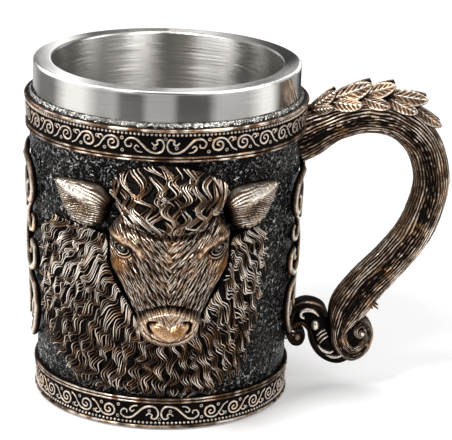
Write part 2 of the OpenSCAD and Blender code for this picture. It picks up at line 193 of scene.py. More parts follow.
def brushed_steel(name, dull, sway):
    material, tree = new_material(name)
    place = add(tree, "ShaderNodeTexCoord").outputs["Object"]
    xyz = add(tree, "ShaderNodeSeparateXYZ", {"Vector": place}).outputs
    angle = add(tree, "ShaderNodeMath", {0: xyz["Y"], 1: xyz["X"]}, operation="ARCTAN2")
    arc = add(tree, "ShaderNodeMath", {0: angle, 1: ARC_R / GROOVE_LONG_MM}, operation="MULTIPLY")
    flat = add(tree, "ShaderNodeCombineXYZ", {"X": xyz["X"], "Y": xyz["Y"]})
    radius = add(tree, "ShaderNodeVectorMath", {0: flat}, operation="LENGTH").outputs["Value"]
    across, up = (add(tree, "ShaderNodeMath", {0: value, 1: 1 / (GROOVE_MM * MM)}, operation="MULTIPLY")
                  for value in (radius, xyz["Z"]))
    along = add(tree, "ShaderNodeCombineXYZ", {"X": arc, "Y": across, "Z": up})
    grooves = add(tree, "ShaderNodeTexNoise",
                  {"Vector": along, "Scale": 1.0, "Detail": 3.0, "Roughness": 0.7})
    tint = add(tree, "ShaderNodeMix", {"Factor": grooves, 6: colour(STEEL_GREY), 7: colour(STEEL)},
               data_type="RGBA").outputs[2]
    round_axis = add(tree, "ShaderNodeTangent", direction_type="RADIAL", axis="Z")
    lean = add(tree, "ShaderNodeMath", {0: grooves, 1: sway, 2: -0.5 * sway}, operation="MULTIPLY_ADD")
    aside = add(tree, "ShaderNodeVectorMath", {0: round_axis, "Scale": lean}, operation="SCALE")
    straight = add(tree, "ShaderNodeNewGeometry").outputs["Normal"]
    leaned = add(tree, "ShaderNodeVectorMath", {0: straight, 1: aside}, operation="ADD")
    normal = add(tree, "ShaderNodeVectorMath", {0: leaned}, operation="NORMALIZE")
    roughness = add(tree, "ShaderNodeMapRange", {"Value": grooves, "To Min": dull[0], "To Max": dull[1]})
    close_material(material, {"Base Color": tint, "Metallic": 1.0, "Roughness": roughness, "Anisotropic": 1.0,
                              "Anisotropic Rotation": 0.25, "Tangent": round_axis, "Normal": normal})
    return material


steel = brushed_steel("brushed_stainless_steel", dull=(0.17, 0.28), sway=0.3)
fine_steel = brushed_steel("fine_brushed_stainless_steel", dull=(0.1, 0.17), sway=0.06)

# Silicone rubber: black and matt, with a trace of dust.
RUBBER_BLACK, RUBBER_DUST, DUST_MM = "#0a0a0a", "#1a1a1a", 1.5
rubber, tree = new_material("black_silicone_rubber")
place = add(tree, "ShaderNodeTexCoord").outputs["Object"]
dust = add(tree, "ShaderNodeTexNoise", {"Vector": place, "Scale": 1 / (DUST_MM * MM), "Detail": 2.0})
dusty = add(tree, "ShaderNodeMix", {"Factor": dust, 6: colour(RUBBER_BLACK), 7: colour(RUBBER_DUST)},
            data_type="RGBA").outputs[2]
close_material(rubber, {"Base Color": dusty, "Roughness": 0.7})

# %% [markdown]
# ## Liner
# The steel liner and its gasket are turned shapes that the solids already have right, so they stay and
# only take their finish. The two hidden handle pins are steel too.

# %% Dress the liner
for name, finish in (("liner_cup", steel), ("liner_collar", fine_steel), ("liner_gasket", rubber),
                     ("upper_handle_pin", steel), ("lower_handle_pin", steel)):
    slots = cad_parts[name].data.materials
    slots.clear()
    slots.append(finish)
print("steel liner dressed")

# %% [markdown]
# ## Noise in plain arrays
# Cast relief is never quite regular, so most pieces need noise. Blender has noise textures, but a mesh
# made from arrays needs its noise as arrays too. Value noise on a lattice is enough, and it gives the
# same numbers on every run.


# %% Noise and smooth steps
def lattice(cell, seed):
    n = cell[..., 0] * 73856093 ^ cell[..., 1] * 19349663 ^ cell[..., 2] * 83492791 ^ seed * 40503
    n = (n ^ (n >> 13)) * 1274126177 & 0x7FFFFFFF
    n = (n ^ (n >> 15)) * 668265263 & 0x7FFFFFFF
    return ((n >> 8) & 0xFFFF) / 65535


def noise(p, size, seed):
    q = np.asarray(p, float) / size
    base = np.floor(q).astype(np.int64)
    f = q - base
    f = f * f * (3 - 2 * f)
    total = 0
    for corner in itertools.product((0, 1), repeat=3):
        weight = np.prod(np.where(corner, f, 1 - f), axis=-1)
        total = total + weight * lattice(base + np.array(corner), seed)
    return 2 * total - 1


def clamp(x):
    return np.clip(x, 0, 1)


def smooth(low, high, x):
    t = clamp((x - low) / (high - low))
    return t * t * (3 - 2 * t)


def stacked(*parts):
    return np.stack(np.broadcast_arrays(*parts), -1)


print("noise in the middle of a cell", np.round(noise([(0.5, 0.5, 0.5)], 1.0, 1), 3))

# %% [markdown]
# ## The wall as a sheet of paper
# The body is a slightly tapered drum. Unrolled, a point on it has an arc length s from the middle of
# its scene, a height z, and a height h above the bare ground. Every relief is drawn on that flat sheet
# and rolled back, so the same drawing serves the front and the back.

# %% Wall coordinates
FOOT_R, TOP_R, BORDER_TOP = 39.5, 43.45, 97.9
HEAD_TURN = 2.4
SIDES = {"front": -90 + HEAD_TURN, "back": 90 + HEAD_TURN}


def ground_r(z):
    return FOOT_R + (TOP_R - FOOT_R) * np.asarray(z, float) / BORDER_TOP


def on_wall(az, s, z, h):
    a = math.radians(az) + np.asarray(s, float) / ARC_R
    r = ground_r(z) + h
    return stacked(r * np.cos(a), r * np.sin(a), z)


print("ground radius at foot and top", ground_r(0), ground_r(BORDER_TOP), "mm")

# %% [markdown]
# ## Hammered body
# The bare wall between the reliefs is hammered all over. Bump alone would leave a smooth outline, so
# the dents are in the mesh: a cell pattern about two millimetres across, sunk along the cell edges. The
# body is one lathe shape with its floor, bore and the ledge that the liner sits on.


# %% Turned meshes
def new_object(name, data):
    ob = bpy.data.objects.new(name, data)
    bpy.context.scene.collection.objects.link(ob)
    return ob


def face_outwards(mesh):
    bm = bmesh.new()
    bm.from_mesh(mesh)
    bmesh.ops.recalc_face_normals(bm, faces=bm.faces)
    bm.to_mesh(mesh)
    bm.free()


def mesh_object(name, verts, faces, finish, **attributes):
    mesh = bpy.data.meshes.new(name)
    mesh.from_pydata((np.asarray(verts, float) * MM).tolist(), [], faces)
    for key, values in attributes.items():
        layer = mesh.attributes.new(key, "FLOAT", "POINT")
        layer.data.foreach_set("value", np.asarray(values, np.float32))
    face_outwards(mesh)
    mesh.polygons.foreach_set("use_smooth", np.ones(len(mesh.polygons), bool))
    mesh.materials.append(finish)
    return new_object(name, mesh)


def full_turn(count):
    return np.linspace(0, 2 * np.pi, count, endpoint=False)


def tube_faces(rings, sides, capped=True):
    at = np.arange(rings * sides).reshape(rings, sides)
    nxt = np.roll(at, -1, axis=1)
    faces = np.stack([at[:-1], nxt[:-1], nxt[1:], at[1:]], -1).reshape(-1, 4).tolist()
    if capped:
        return faces + [at[0].tolist(), at[-1].tolist()]
    return faces + np.stack([at[-1], nxt[-1], nxt[0], at[0]], -1).tolist()


def ring_points(profile, segments):
    angles = full_turn(segments)
    return stacked(profile[:, :1] * np.cos(angles), profile[:, :1] * np.sin(angles), profile[:, 1:])


def lathe(name, profile, segments, finish, push=None, capped=False, **attributes):
    profile = np.asarray(profile, float)
    grid = ring_points(profile, segments)
    if push is not None:
        angles = full_turn(segments)
        out = stacked(np.cos(angles), np.sin(angles), 0 * profile[:, :1])
        grid = grid + out * push[..., None]
    faces = tube_faces(len(profile), segments, capped)
    values = {k: np.broadcast_to(v, grid.shape[:2]).ravel() for k, v in attributes.items()}
    return mesh_object(name, grid.reshape(-1, 3), faces, finish, **values)


print("a tube of 3 rings and 8 sides has", len(tube_faces(3, 8)), "faces")


# %% Hammer and lathe the body
def cell_walls(p, size, seed):
    q = np.asarray(p, float) / size
    base = np.floor(q).astype(np.int64)
    near = np.full(q.shape[:-1], 9.0)
    second = near.copy()
    for offset in itertools.product((-1, 0, 1), repeat=3):
        cell = base + np.array(offset)
        spot = cell + np.stack([lattice(cell, seed + k) for k in (1, 2, 3)], -1)
        d = np.linalg.norm(q - spot, axis=-1)
        second = np.minimum(second, np.maximum(near, d))
        near = np.minimum(near, d)
    return second - near


def finish_piece(ob, node):
    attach(ob, "tankard")
    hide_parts(node)
    print(ob.name, "for", node, len(ob.data.polygons), "faces")


DENT_MM, DENT_DEPTH, LIP_SHINE = 1.9, 0.3, 2.0
FOOT_EDGE_R, WALL_LOW, WALL_HIGH = 38.9, 0.6, 97.6
LIP_ROUND = [(43.2, 98.3), (42.95, 98.8)]
LIP_R, LIP_H, LEDGE_Z, BORE_R, FLOOR_T = 42.6, 99.2, 96.4, 37.5, 6.0
WALL_ROWS, WALL_SEGMENTS = 172, 450
rows = [(FOOT_EDGE_R, 0.0)]
rows += [(float(ground_r(z)), z) for z in np.linspace(WALL_LOW, WALL_HIGH, WALL_ROWS)]
rows += LIP_ROUND + [(LIP_R, LIP_H), (LIP_R, LEDGE_Z), (BORE_R, LEDGE_Z), (BORE_R, FLOOR_T)]
rows = np.array(rows)
spots = ring_points(rows, WALL_SEGMENTS)
peaks = smooth(0.05, 0.55, cell_walls(spots, DENT_MM, 11)) * (0.75 + 0.5 * noise(spots, 2.3, 5))
hammered = np.zeros(len(rows))
hammered[1:WALL_ROWS + len(LIP_ROUND) + 1] = 1
push = (DENT_DEPTH * (peaks - 0.75) + 0.08 * noise(spots, 4.0, 3)) * hammered[:, None]
bare = np.where((rows[:, 1:] > BORDER_TOP) & (rows[:, :1] > LIP_R - 0.1), LIP_SHINE, 0)
worn = np.clip(peaks, 0, 1.3) + bare
shell = lathe("hammered_body", rows, WALL_SEGMENTS, ground, push, capped=True, crest=worn)
finish_piece(shell, "body_shell")

# %% [markdown]
# ## Bars along drawn paths
# Hair, scrollwork and tendrils are all the same thing to a carver: a rounded bar that follows a drawn
# line and tapers. A Geometry Nodes tree sweeps one profile along every path of a mesh of edges. Each
# path point carries its girth, how far the bronze is rubbed there, with painted highlights and shade
# mixed in on the hair, and the direction that faces out of the wall, so the bar's oval section stays
# square to the wall and the tree can mark the bar's crest.


# %% Geometry Nodes: rounded bars along paths
def geometry_tree(name, inputs):
    tree = bpy.data.node_groups.new(name, "GeometryNodeTree")
    tree.interface.new_socket("Geometry", in_out="OUTPUT", socket_type="NodeSocketGeometry")
    tree.interface.new_socket("Geometry", in_out="INPUT", socket_type="NodeSocketGeometry")
    ids = {}
    for label, kind in inputs.items():
        socket = tree.interface.new_socket(label, in_out="INPUT", socket_type="NodeSocket" + kind)
        ids[label] = socket.identifier
    return tree, ids, tree.nodes.new("NodeGroupInput").outputs


def close_tree(tree, geometry, finish):
    real = add(tree, "GeometryNodeRealizeInstances", {"Geometry": geometry})
    soft = add(tree, "GeometryNodeSetShadeSmooth", {"Geometry": real})
    coated = add(tree, "GeometryNodeSetMaterial", {"Geometry": soft, "Material": finish})
    add(tree, "NodeGroupOutput", {"Geometry": coated})
    print("tree", tree.name, len(tree.nodes), "nodes")


bar_tree, bar_ids, given = geometry_tree(
    "bars_along_paths", {"Sides": "Int", "Flatness": "Float", "Finish": "Material"})
lines = add(bar_tree, "GeometryNodeMeshToCurve", {"Mesh": given["Geometry"]})
outward = add(bar_tree, "GeometryNodeInputNamedAttribute", {"Name": "out"}, data_type="FLOAT_VECTOR")
girth, facing, rub = (add(bar_tree, "GeometryNodeInputNamedAttribute", {"Name": name})
                      for name in ("girth", "facing", "rub"))
turned = add(bar_tree, "GeometryNodeSetCurveNormal", {"Curve": lines, "Normal": outward}, mode="FREE")
circle = add(bar_tree, "GeometryNodeCurvePrimitiveCircle", {"Resolution": given["Sides"], "Radius": 1.0},
             mode="RADIUS")
circle_spot = add(bar_tree, "GeometryNodeInputPosition")
circle_xyz = add(bar_tree, "ShaderNodeSeparateXYZ", {"Vector": circle_spot})
marked = add(bar_tree, "GeometryNodeStoreNamedAttribute",
             {"Geometry": circle, "Name": "facing", "Value": circle_xyz.outputs["X"]})
squash = add(bar_tree, "ShaderNodeCombineXYZ", {"X": given["Flatness"], "Y": 1.0, "Z": 1.0})
profile = add(bar_tree, "GeometryNodeTransform", {"Geometry": marked, "Scale": squash})
bars = add(bar_tree, "GeometryNodeCurveToMesh",
           {"Curve": turned, "Profile Curve": profile, "Scale": girth, "Fill Caps": True})
lift = add(bar_tree, "ShaderNodeMapRange", {"Value": facing, "From Min": 0.2})
worn = add(bar_tree, "ShaderNodeMath", {0: lift, 1: rub}, operation="MULTIPLY")
shaded = add(bar_tree, "GeometryNodeStoreNamedAttribute", {"Geometry": bars, "Name": "crest", "Value": worn})
close_tree(bar_tree, shaded, given["Finish"])


# %% Run a tree and keep a plain mesh
def settle(ob, tree, values):
    modifier = ob.modifiers.new("shape", "NODES")
    modifier.node_group = tree
    for key, value in values.items():
        modifier[key] = value
    graph = bpy.context.evaluated_depsgraph_get()
    shown = ob.evaluated_get(graph)
    mesh = bpy.data.meshes.new_from_object(shown, preserve_all_data_layers=True, depsgraph=graph)
    ob.modifiers.clear()
    old, ob.data = ob.data, mesh
    bpy.data.meshes.remove(old)
    mesh.name = ob.name
    for spare in ("girth", "out", "rub", "facing"):
        if spare in mesh.attributes:
            mesh.attributes.remove(mesh.attributes[spare])
    return ob


def store_values(mesh, name, values):
    values = np.asarray(values, np.float32)
    kind, field = ("FLOAT", "value") if values.ndim == 1 else ("FLOAT_VECTOR", "vector")
    mesh.attributes.new(name, kind, "POINT").data.foreach_set(field, values.ravel())


def bars_object(name, paths, sides=7, flatness=0.85):
    mesh = bpy.data.meshes.new(name)
    edges, start = [], 0
    for path in paths:
        n = len(path["points"])
        edges += [(start + k, start + k + 1) for k in range(n - 1)]
        start += n
    mesh.from_pydata((np.concatenate([path["points"] for path in paths]) * MM).tolist(), edges, [])
    for key, scale in (("girth", MM), ("rub", 1)):
        values = [np.broadcast_to(path[key], len(path["points"])) for path in paths]
        store_values(mesh, key, np.concatenate(values) * scale)
    store_values(mesh, "out", np.concatenate([path["out"] for path in paths]))
    choices = {bar_ids["Sides"]: sides, bar_ids["Flatness"]: flatness, bar_ids["Finish"]: bronze}
    return settle(new_object(name, mesh), bar_tree, choices)


def wall_path(az, s, z, h, girth, rub=1.0):
    a = math.radians(az) + np.asarray(s) / ARC_R
    out = np.stack([np.cos(a), np.sin(a), 0 * a], -1)
    return {"points": on_wall(az, s, z, h), "girth": girth, "out": out, "rub": rub}


print("a bar is set by", sorted(bar_ids))

# %% [markdown]
# ## Border bands
# Each border is a plain turned band with an edge roll and a pair of fine lines, a row of beads beside
# the roll, and a running scroll with small rings in between. The band is lathed. The beads and the
# scroll repeat: Geometry Nodes place the beads, and a quarter of the scroll is drawn once, mirrored
# about the front, and turned round to the back.

# %% Geometry Nodes: a row of beads
BEAD_SHINE = 0.8
bead_tree, bead_ids, given = geometry_tree(
    "beads_round_ring",
    {"Count": "Int", "Ring radius": "Float", "Height": "Float", "Bead radius": "Float", "Finish": "Material"})
circle = add(bead_tree, "GeometryNodeMeshCircle",
             {"Vertices": given["Count"], "Radius": given["Ring radius"]})
rise = add(bead_tree, "ShaderNodeCombineXYZ", {"Z": given["Height"]})
lifted = add(bead_tree, "GeometryNodeSetPosition", {"Geometry": circle, "Offset": rise})
bead = add(bead_tree, "GeometryNodeMeshUVSphere", {"Segments": 8, "Rings": 6, "Radius": given["Bead radius"]})
beads = add(bead_tree, "GeometryNodeInstanceOnPoints", {"Points": lifted, "Instance": bead})
shaded = add(bead_tree, "GeometryNodeStoreNamedAttribute",
             {"Geometry": beads, "Name": "crest", "Value": BEAD_SHINE}, domain="INSTANCE")
close_tree(bead_tree, shaded, given["Finish"])

# %% Draw the scrolls
# Smooth lines go through a few given points by the same Catmull-Rom rule that the solids use.
def curve_at(rows, t):
    rows = np.asarray(rows, float)
    last = len(rows) - 1
    t = clamp(np.asarray(t, float)) * last
    i = np.minimum(t.astype(int), last - 1)
    f = (t - i)[..., None]
    p0, p1 = rows[np.maximum(i - 1, 0)], rows[i]
    p2, p3 = rows[i + 1], rows[np.minimum(i + 2, last)]
    return 0.5 * (2 * p1 + (p2 - p0) * f + (2 * p0 - 5 * p1 + 4 * p2 - p3) * f ** 2
                  + (3 * p1 - p0 - 3 * p2 + p3) * f ** 3)


def curve_points(rows, count):
    return curve_at(rows, np.linspace(0, 1, count))


# Scrolls on the flat band: arc length from the front and height from the middle of the band
FRONT_SCROLL = [(4.2, 1.0), (3.4, 0.3), (2.4, 0.7), (2.6, 1.7), (1.2, 1.9), (0.45, 0.2), (1.2, -1.7),
                (3.0, -2.2), (5.2, -1.5), (7.2, 0.4), (9.0, 1.9), (11.0, 2.0), (12.3, 0.9), (11.8, -0.5),
                (10.5, -0.5), (10.4, 0.5)]
FRONT_SPRIG = [(7.0, -2.1), (8.4, -1.9), (9.4, -0.9), (8.8, -0.1), (8.0, -0.6)]
RUNNING_SCROLL = [(0.2, -0.2), (-0.6, 0.2), (-0.3, 1.0), (0.7, 1.0), (1.3, 0.2), (1.0, -1.0), (-0.1, -1.6),
                  (-1.5, -1.1), (-2.0, 0.2), (-1.4, 1.6), (0.2, 2.2), (2.0, 1.8), (3.3, 0.4), (4.4, -1.2),
                  (6.0, -2.1)]
RUNNING_SPRIG = [(2.6, 0.6), (3.4, 1.9), (4.4, 2.0), (4.7, 1.2), (4.1, 0.9)]


FRONT_DOTS = [(0.0, 2.2), (3.3, -0.6), (13.4, 1.9), (13.2, -1.9)]
RUNNING_DOTS = [(5.2, 1.6), (2.6, -1.7)]
FIRST_UNIT, UNIT_PITCH, UNITS = 16.4, 8.3, 7

print(len(FRONT_SCROLL), "points for the front scroll,", len(RUNNING_SCROLL), "for the running one")

# %% Roll the band
BORDER_W, FIELD_H, BORDER_SEGMENTS = 10.4, 0.42, 400
# Middle, half width and height of the two fine lines and the edge roll
BORDER_ROLLS = [(0.5, 0.45, 0.8), (1.5, 0.42, 0.8), (9.75, 0.65, 0.95)]


def rolled_band(name, up):
    z = np.linspace(0, BORDER_W, 90)
    stand = np.full(len(z), FIELD_H)
    for middle, half, height in BORDER_ROLLS:
        arch = np.sqrt(clamp(1 - ((z - middle) / half) ** 2))
        stand = np.maximum(stand, FIELD_H + height * arch)
    inner = np.array([(float(ground_r(up(v))) - 0.4, up(v)) for v in (BORDER_W, 0)])
    loop = np.concatenate([np.stack([ground_r(up(z)) + stand, up(z)], -1), inner])
    marks = np.concatenate([smooth(0.15, 0.75, stand - FIELD_H), [0, 0]])[:, None]
    spots = ring_points(loop, BORDER_SEGMENTS)
    rough = 0.07 * noise(spots, 1.1, 21) * (marks > 0)
    worn = marks * (0.58 + 0.4 * noise(spots, 2.0, 8))
    return lathe(name, loop, BORDER_SEGMENTS, bronze, rough, crest=worn)


print("band", BORDER_W, "mm wide with", len(BORDER_ROLLS), "rolls")

# %% Lay scrolls and rings on the band
SCROLL_GIRTH, SPRIG_GIRTH, BORDER_MIDDLE = 0.46, 0.36, 5.1
DOT_R, DOT_GIRTH, DOT_POINTS = 0.42, 0.24, 9
QUARTERS = list(itertools.product((-90, 90), (-1, 1)))


def scroll_stroke(points, s0, girth):
    line = curve_points(points, 6 * len(points))
    taper = girth * (0.55 + 0.45 * np.sin(np.pi * np.linspace(0.08, 0.92, len(line))))
    return line[:, 0] + s0, line[:, 1], taper


def band_scrolls(name, up):
    def on_band(s, v):
        z = up(BORDER_MIDDLE + v)
        return s * ARC_R / (ground_r(z) + 1.0), z

    starts = [FIRST_UNIT + k * UNIT_PITCH for k in range(UNITS)]
    strokes = [scroll_stroke(FRONT_SCROLL, 0, SCROLL_GIRTH), scroll_stroke(FRONT_SPRIG, 0, SPRIG_GIRTH)]
    for s0 in starts:
        strokes.append(scroll_stroke(RUNNING_SCROLL, s0, SCROLL_GIRTH))
        strokes.append(scroll_stroke(RUNNING_SPRIG, s0, SPRIG_GIRTH))
    dots = FRONT_DOTS + [(s0 + ds, v) for ds, v in RUNNING_DOTS for s0 in starts]
    turns = np.radians(np.linspace(0, 360, DOT_POINTS))
    scrolls, rings = [], []
    for turn, mirror in QUARTERS:
        for s, v, girth in strokes:
            s, z = on_band(s, v)
            scrolls.append(wall_path(turn, mirror * s, z, FIELD_H + 0.12, girth))
        for s, v in dots:
            s, z = on_band(s, v)
            rings.append(wall_path(turn, mirror * s + DOT_R * np.cos(turns), z + DOT_R * np.sin(turns),
                                   FIELD_H + 0.1, DOT_GIRTH))
    return [bars_object(name + "_scroll", scrolls, sides=6, flatness=1.1),
            bars_object(name + "_rings", rings, sides=5, flatness=1.0)]


print(len(QUARTERS), "quarters with", UNITS, "running scrolls each")

# %% Build both borders
BEAD_R, BEAD_PITCH, BEAD_ROW, LOWER_BORDER_Z = 0.46, 1.28, 8.55, 0.4


def joined(name, obs):
    with bpy.context.temp_override(active_object=obs[0], object=obs[0], selected_editable_objects=obs,
                                   selected_objects=obs):
        bpy.ops.object.join()
    obs[0].name = obs[0].data.name = name
    return obs[0]


def bead_row(name, z):
    r = float(ground_r(z)) + FIELD_H + 0.1
    row = new_object(name + "_beads", bpy.data.meshes.new(name + "_beads"))
    settle(row, bead_tree, {
        bead_ids["Count"]: int(2 * math.pi * r / BEAD_PITCH), bead_ids["Ring radius"]: r * MM,
        bead_ids["Height"]: z * MM, bead_ids["Bead radius"]: BEAD_R * MM, bead_ids["Finish"]: bronze})
    return row


def border(name, z0, upright):
    def up(z):
        return z0 + (z if upright else BORDER_W - z)

    band = rolled_band(name, up)
    return joined(name, [band, *band_scrolls(name, up), bead_row(name, up(BEAD_ROW))])


finish_piece(border("upper_scroll_border", BORDER_TOP - BORDER_W, True), "upper_border")
finish_piece(border("lower_scroll_border", LOWER_BORDER_Z, False), "lower_border")

# %% [markdown]
# ## Closed reliefs
# A relief is a grid of points on the wall. It has to be a solid with a back, or it would be an open
# sheet. A back as fine as the front would double the triangles, so the back is a coarse grid sunk a
# little into the wall, sewn to the front along the rim.

# %% Reliefs with a coarse back
SUNK = 0.3


def relief_mesh(name, front, back, finish, step, **attributes):
    rows, cols = front.shape[:2]
    count = rows * cols
    at = np.arange(count).reshape(rows, cols)
    faces = np.stack([at[:-1, :-1], at[:-1, 1:], at[1:, 1:], at[1:, :-1]], -1).reshape(-1, 4).tolist()
    rim = [(0, j) for j in range(cols)] + [(i, cols - 1) for i in range(1, rows)]
    rim += [(rows - 1, j) for j in range(cols - 2, -1, -1)] + [(i, 0) for i in range(rows - 2, 0, -1)]
    behind = {ij: count + k for k, ij in enumerate(rim)}
    extra = [back[ij] for ij in rim]
    for a, b in zip(rim, rim[1:] + rim[:1]):
        faces.append([int(at[a]), behind[a], behind[b], int(at[b])])

    def index(ij):
        if ij not in behind:
            behind[ij] = count + len(extra)
            extra.append(back[ij])
        return behind[ij]

    def side(p, q):
        fine = (p[0] == q[0] and p[0] in (0, rows - 1)) or (p[1] == q[1] and p[1] in (0, cols - 1))
        n = max(abs(p[0] - q[0]), abs(p[1] - q[1])) if fine else 1
        return [(p[0] + (q[0] - p[0]) * k // n, p[1] + (q[1] - p[1]) * k // n) for k in range(n)]

    coarse_r = sorted({*range(0, rows - 1, step), rows - 1})
    coarse_c = sorted({*range(0, cols - 1, step), cols - 1})
    for a, b in zip(coarse_r, coarse_r[1:]):
        for c, d in zip(coarse_c, coarse_c[1:]):
            corners = [(a, c), (b, c), (b, d), (a, d)]
            loop = [ij for p, q in zip(corners, corners[1:] + corners[:1]) for ij in side(p, q)]
            faces.append([index(ij) for ij in loop])
    verts = np.concatenate([front.reshape(-1, 3), np.array(extra)])
    filled = {k: np.concatenate([np.ravel(v), np.zeros(len(extra))]) for k, v in attributes.items()}
    return mesh_object(name, verts, faces, finish, **filled)


def wall_relief(name, az, s, z, h, finish, step, **attributes):
    return relief_mesh(name, on_wall(az, s, z, h), on_wall(az, s, z, -SUNK), finish, step, **attributes)


print("reliefs reach", SUNK, "mm into the wall")

# %% [markdown]
# ## Bull's face
# The face is a height field on the unrolled wall: a wedge from brow to muzzle, with brows, eyes, cheek
# hollows, a nose pad and a mouth added as smooth bumps. The fur is the part that sells it: short
# strokes that meet in a V down the nose. Each stroke is pressed into the height field as a small
# tapered ridge, so it catches light from any side.

# %% Draw the face
# Height up the wall, half width and how far the middle stands out, from chin to crown
FACE_ROWS = np.array([
    (31.2, 3.4, 6.6), (32.2, 5.6, 9.6), (34, 7.5, 12.6), (36, 8.4, 14.0), (38.5, 8.9, 14.6), (41, 9.5, 14.2),
    (43.2, 10.7, 13.4), (46, 12.2, 12.7), (50, 14.0, 12.2), (54.8, 16.7, 11.6), (58, 17.3, 11.1),
    (62, 17.5, 10.6), (66, 17.3, 10.2), (69, 15.8, 9.7), (71.4, 13.6, 9.0)])
FACE_STEP, FACE_COLS, FACE_EDGE = 0.165, 300, 1.6
# Half of each drawn line, as distance from the middle and height up the wall
BROW = [(17.2, 66.6), (14.8, 65.9), (11.9, 65.2), (9.2, 63.6), (7.5, 61.8), (6.6, 59.4)]
NOSE = [(0, 39.7), (0.9, 40.3), (2.0, 40.9), (3.1, 41.1), (4.0, 40.7), (4.35, 39.9), (4.1, 38.9), (3.4, 37.6),
        (2.4, 36.5), (1.4, 35.6), (0, 34.9)]
NOSTRIL = [(3.3, 41.4), (4.4, 41.2), (4.95, 40.3), (4.75, 39.1), (4.0, 37.9)]
LIP = [(0, 34.3), (1.2, 34.8), (2.6, 35.4), (4.4, 36.4), (6.0, 37.4)]
# Height, place and reach of the eye socket, the tear hollow, the cheekbone and the cheek hollow
SWELLINGS = [(-1.9, 11.4, 60.8, 3.4, 2.6), (-1.2, 8.9, 57.6, 1.2, 2.6), (0.9, 14.0, 56.4, 2.6, 2.4),
             (-0.9, 9.8, 48.5, 2.4, 3.6)]
MUZZLE_Z, MUZZLE_HALF_W, MUZZLE_HALF_H = 38.1, 8.7, 6.9
print("face from", FACE_ROWS[0, 0], "to", FACE_ROWS[-1, 0], "mm up the wall, standing out",
      FACE_ROWS[:, 2].max(), "mm")


# %% Shape of the face
def bump(dx, dy=0):
    return np.exp(-dx * dx - dy * dy)


def off_line(x, y, line):
    line = np.asarray(line, float)
    best = np.full(np.shape(x), 99.0)
    for (ax, ay), (bx, by) in zip(line, line[1:]):
        ux, uy = bx - ax, by - ay
        t = clamp(((x - ax) * ux + (y - ay) * uy) / (ux * ux + uy * uy))
        best = np.minimum(best, np.hypot(x - ax - t * ux, y - ay - t * uy))
    return best


def near_line(x, y, line, reach):
    return bump(off_line(x, y, line) / reach)


def depth_inside(x, y, outline):
    inside = np.zeros(np.shape(x), bool)
    for (ax, ay), (bx, by) in zip(outline, outline[1:] + outline[:1]):
        crosses = (ay > y) != (by > y)
        with np.errstate(divide="ignore", invalid="ignore"):
            inside ^= crosses & (x < ax + (y - ay) * (bx - ax) / (by - ay if by != ay else 1e-9))
    far = off_line(x, y, outline)
    return np.where(inside, far, -far)


def face_form(a, z, side, crown_h):
    crown = clamp(1 - np.abs(side) ** 2.4) ** 0.58
    h = FACE_EDGE + (crown_h - FACE_EDGE) * crown
    h += 1.5 * near_line(a, z, BROW, 1.5) * smooth(56.5, 62, z)
    for height, mid_a, mid_z, wide, tall in SWELLINGS:
        h += height * bump((a - mid_a) / wide, (z - mid_z) / tall)
    h -= 1.5 * bump((z - 66.6 - 0.014 * a * a) / 0.8) * smooth(13.5, 11, a)
    power = 1.7 + 1.1 * smooth(39, 36, z)
    block = (a / MUZZLE_HALF_W) ** power + (np.abs(z - MUZZLE_Z) / MUZZLE_HALF_H) ** power
    block = block ** (1 / power)
    h += 2.1 * smooth(1.04, 0.84, block) - 1.3 * bump((block - 1.1) / 0.06) * smooth(38, 42, z)
    pad = depth_inside(a, z, NOSE)
    h += 0.7 * smooth(-0.1, 0.9, pad) - 0.25 * bump((pad + 0.25) / 0.24)
    h -= 1.2 * near_line(a, z, NOSTRIL, 0.36)
    h -= 0.5 * near_line(a, z, LIP, 0.3)
    return h, pad, block


nose_depth = depth_inside(np.array([1.5]), np.array([38.5]), NOSE)
print("a spot on the nose pad lies", np.round(nose_depth, 1), "mm inside its edge")

# %% Eyes
EYE_S, EYE_Z, EYE_TILT = 12.7, 61.7, 22
EYE_HALF_W, EYE_SQUEEZE, EYE_BALL_H = 2.35, 1.2, 0.9
# Values of the eye attribute, which the bronze turns into colours; the last is a painted catchlight
WHITE_MARK, IRIS_MARK, PUPIL_MARK, PAINTED_GLINT_MARK = 0.3, 0.5, 0.75, 1.0
PUPIL_R, IRIS_R, PAINTED_GLINT_R = 0.68, 1.3, 0.3


def eye_form(s, z):
    a, t = np.abs(s) - EYE_S, math.radians(EYE_TILT)
    x = a * EYE_SQUEEZE * math.cos(t) + (z - EYE_Z) * math.sin(t)
    y = -a * EYE_SQUEEZE * math.sin(t) + (z - EYE_Z) * math.cos(t)
    q = np.hypot(x / EYE_HALF_W, y / (1.5 + 0.2 * (y > 0))) + 0.14 * np.abs(x / EYE_HALF_W)
    under = smooth(0.5, -0.3, y)
    rings = bump((q - 1.22) / 0.1) + 0.8 * under * bump((q - 1.72) / 0.12)
    grooves = bump((q - 1.04) / 0.07) + under * bump((q - 1.47) / 0.1)
    ball = EYE_BALL_H * np.sqrt(clamp(1 - q * q))
    hood = bump((q - 1.5) / 0.25) * (1 - under)
    look = np.hypot(x - 0.05, y - 0.1)
    marks = np.where(look < PUPIL_R, PUPIL_MARK, np.where(look < IRIS_R, IRIS_MARK, WHITE_MARK))
    marks = np.where(q < 1.06, marks, 0.0)
    # A small pale dot high in each eye is a painted highlight, a catchlight.
    painted_glint = np.hypot(x - 0.3 * np.sign(s), y - 0.55)
    marks = np.where((painted_glint < PAINTED_GLINT_R) & (q < 1), PAINTED_GLINT_MARK, marks)
    return 0.6 * rings - 0.35 * grooves + ball + hood, q, marks, rings, grooves


print("eyes", 2 * EYE_S, "mm apart,", EYE_Z, "mm up")

# %% Fur
FUR_PITCH, FUR_ROW, FUR_DEEP = 0.78, 1.5, 0.48


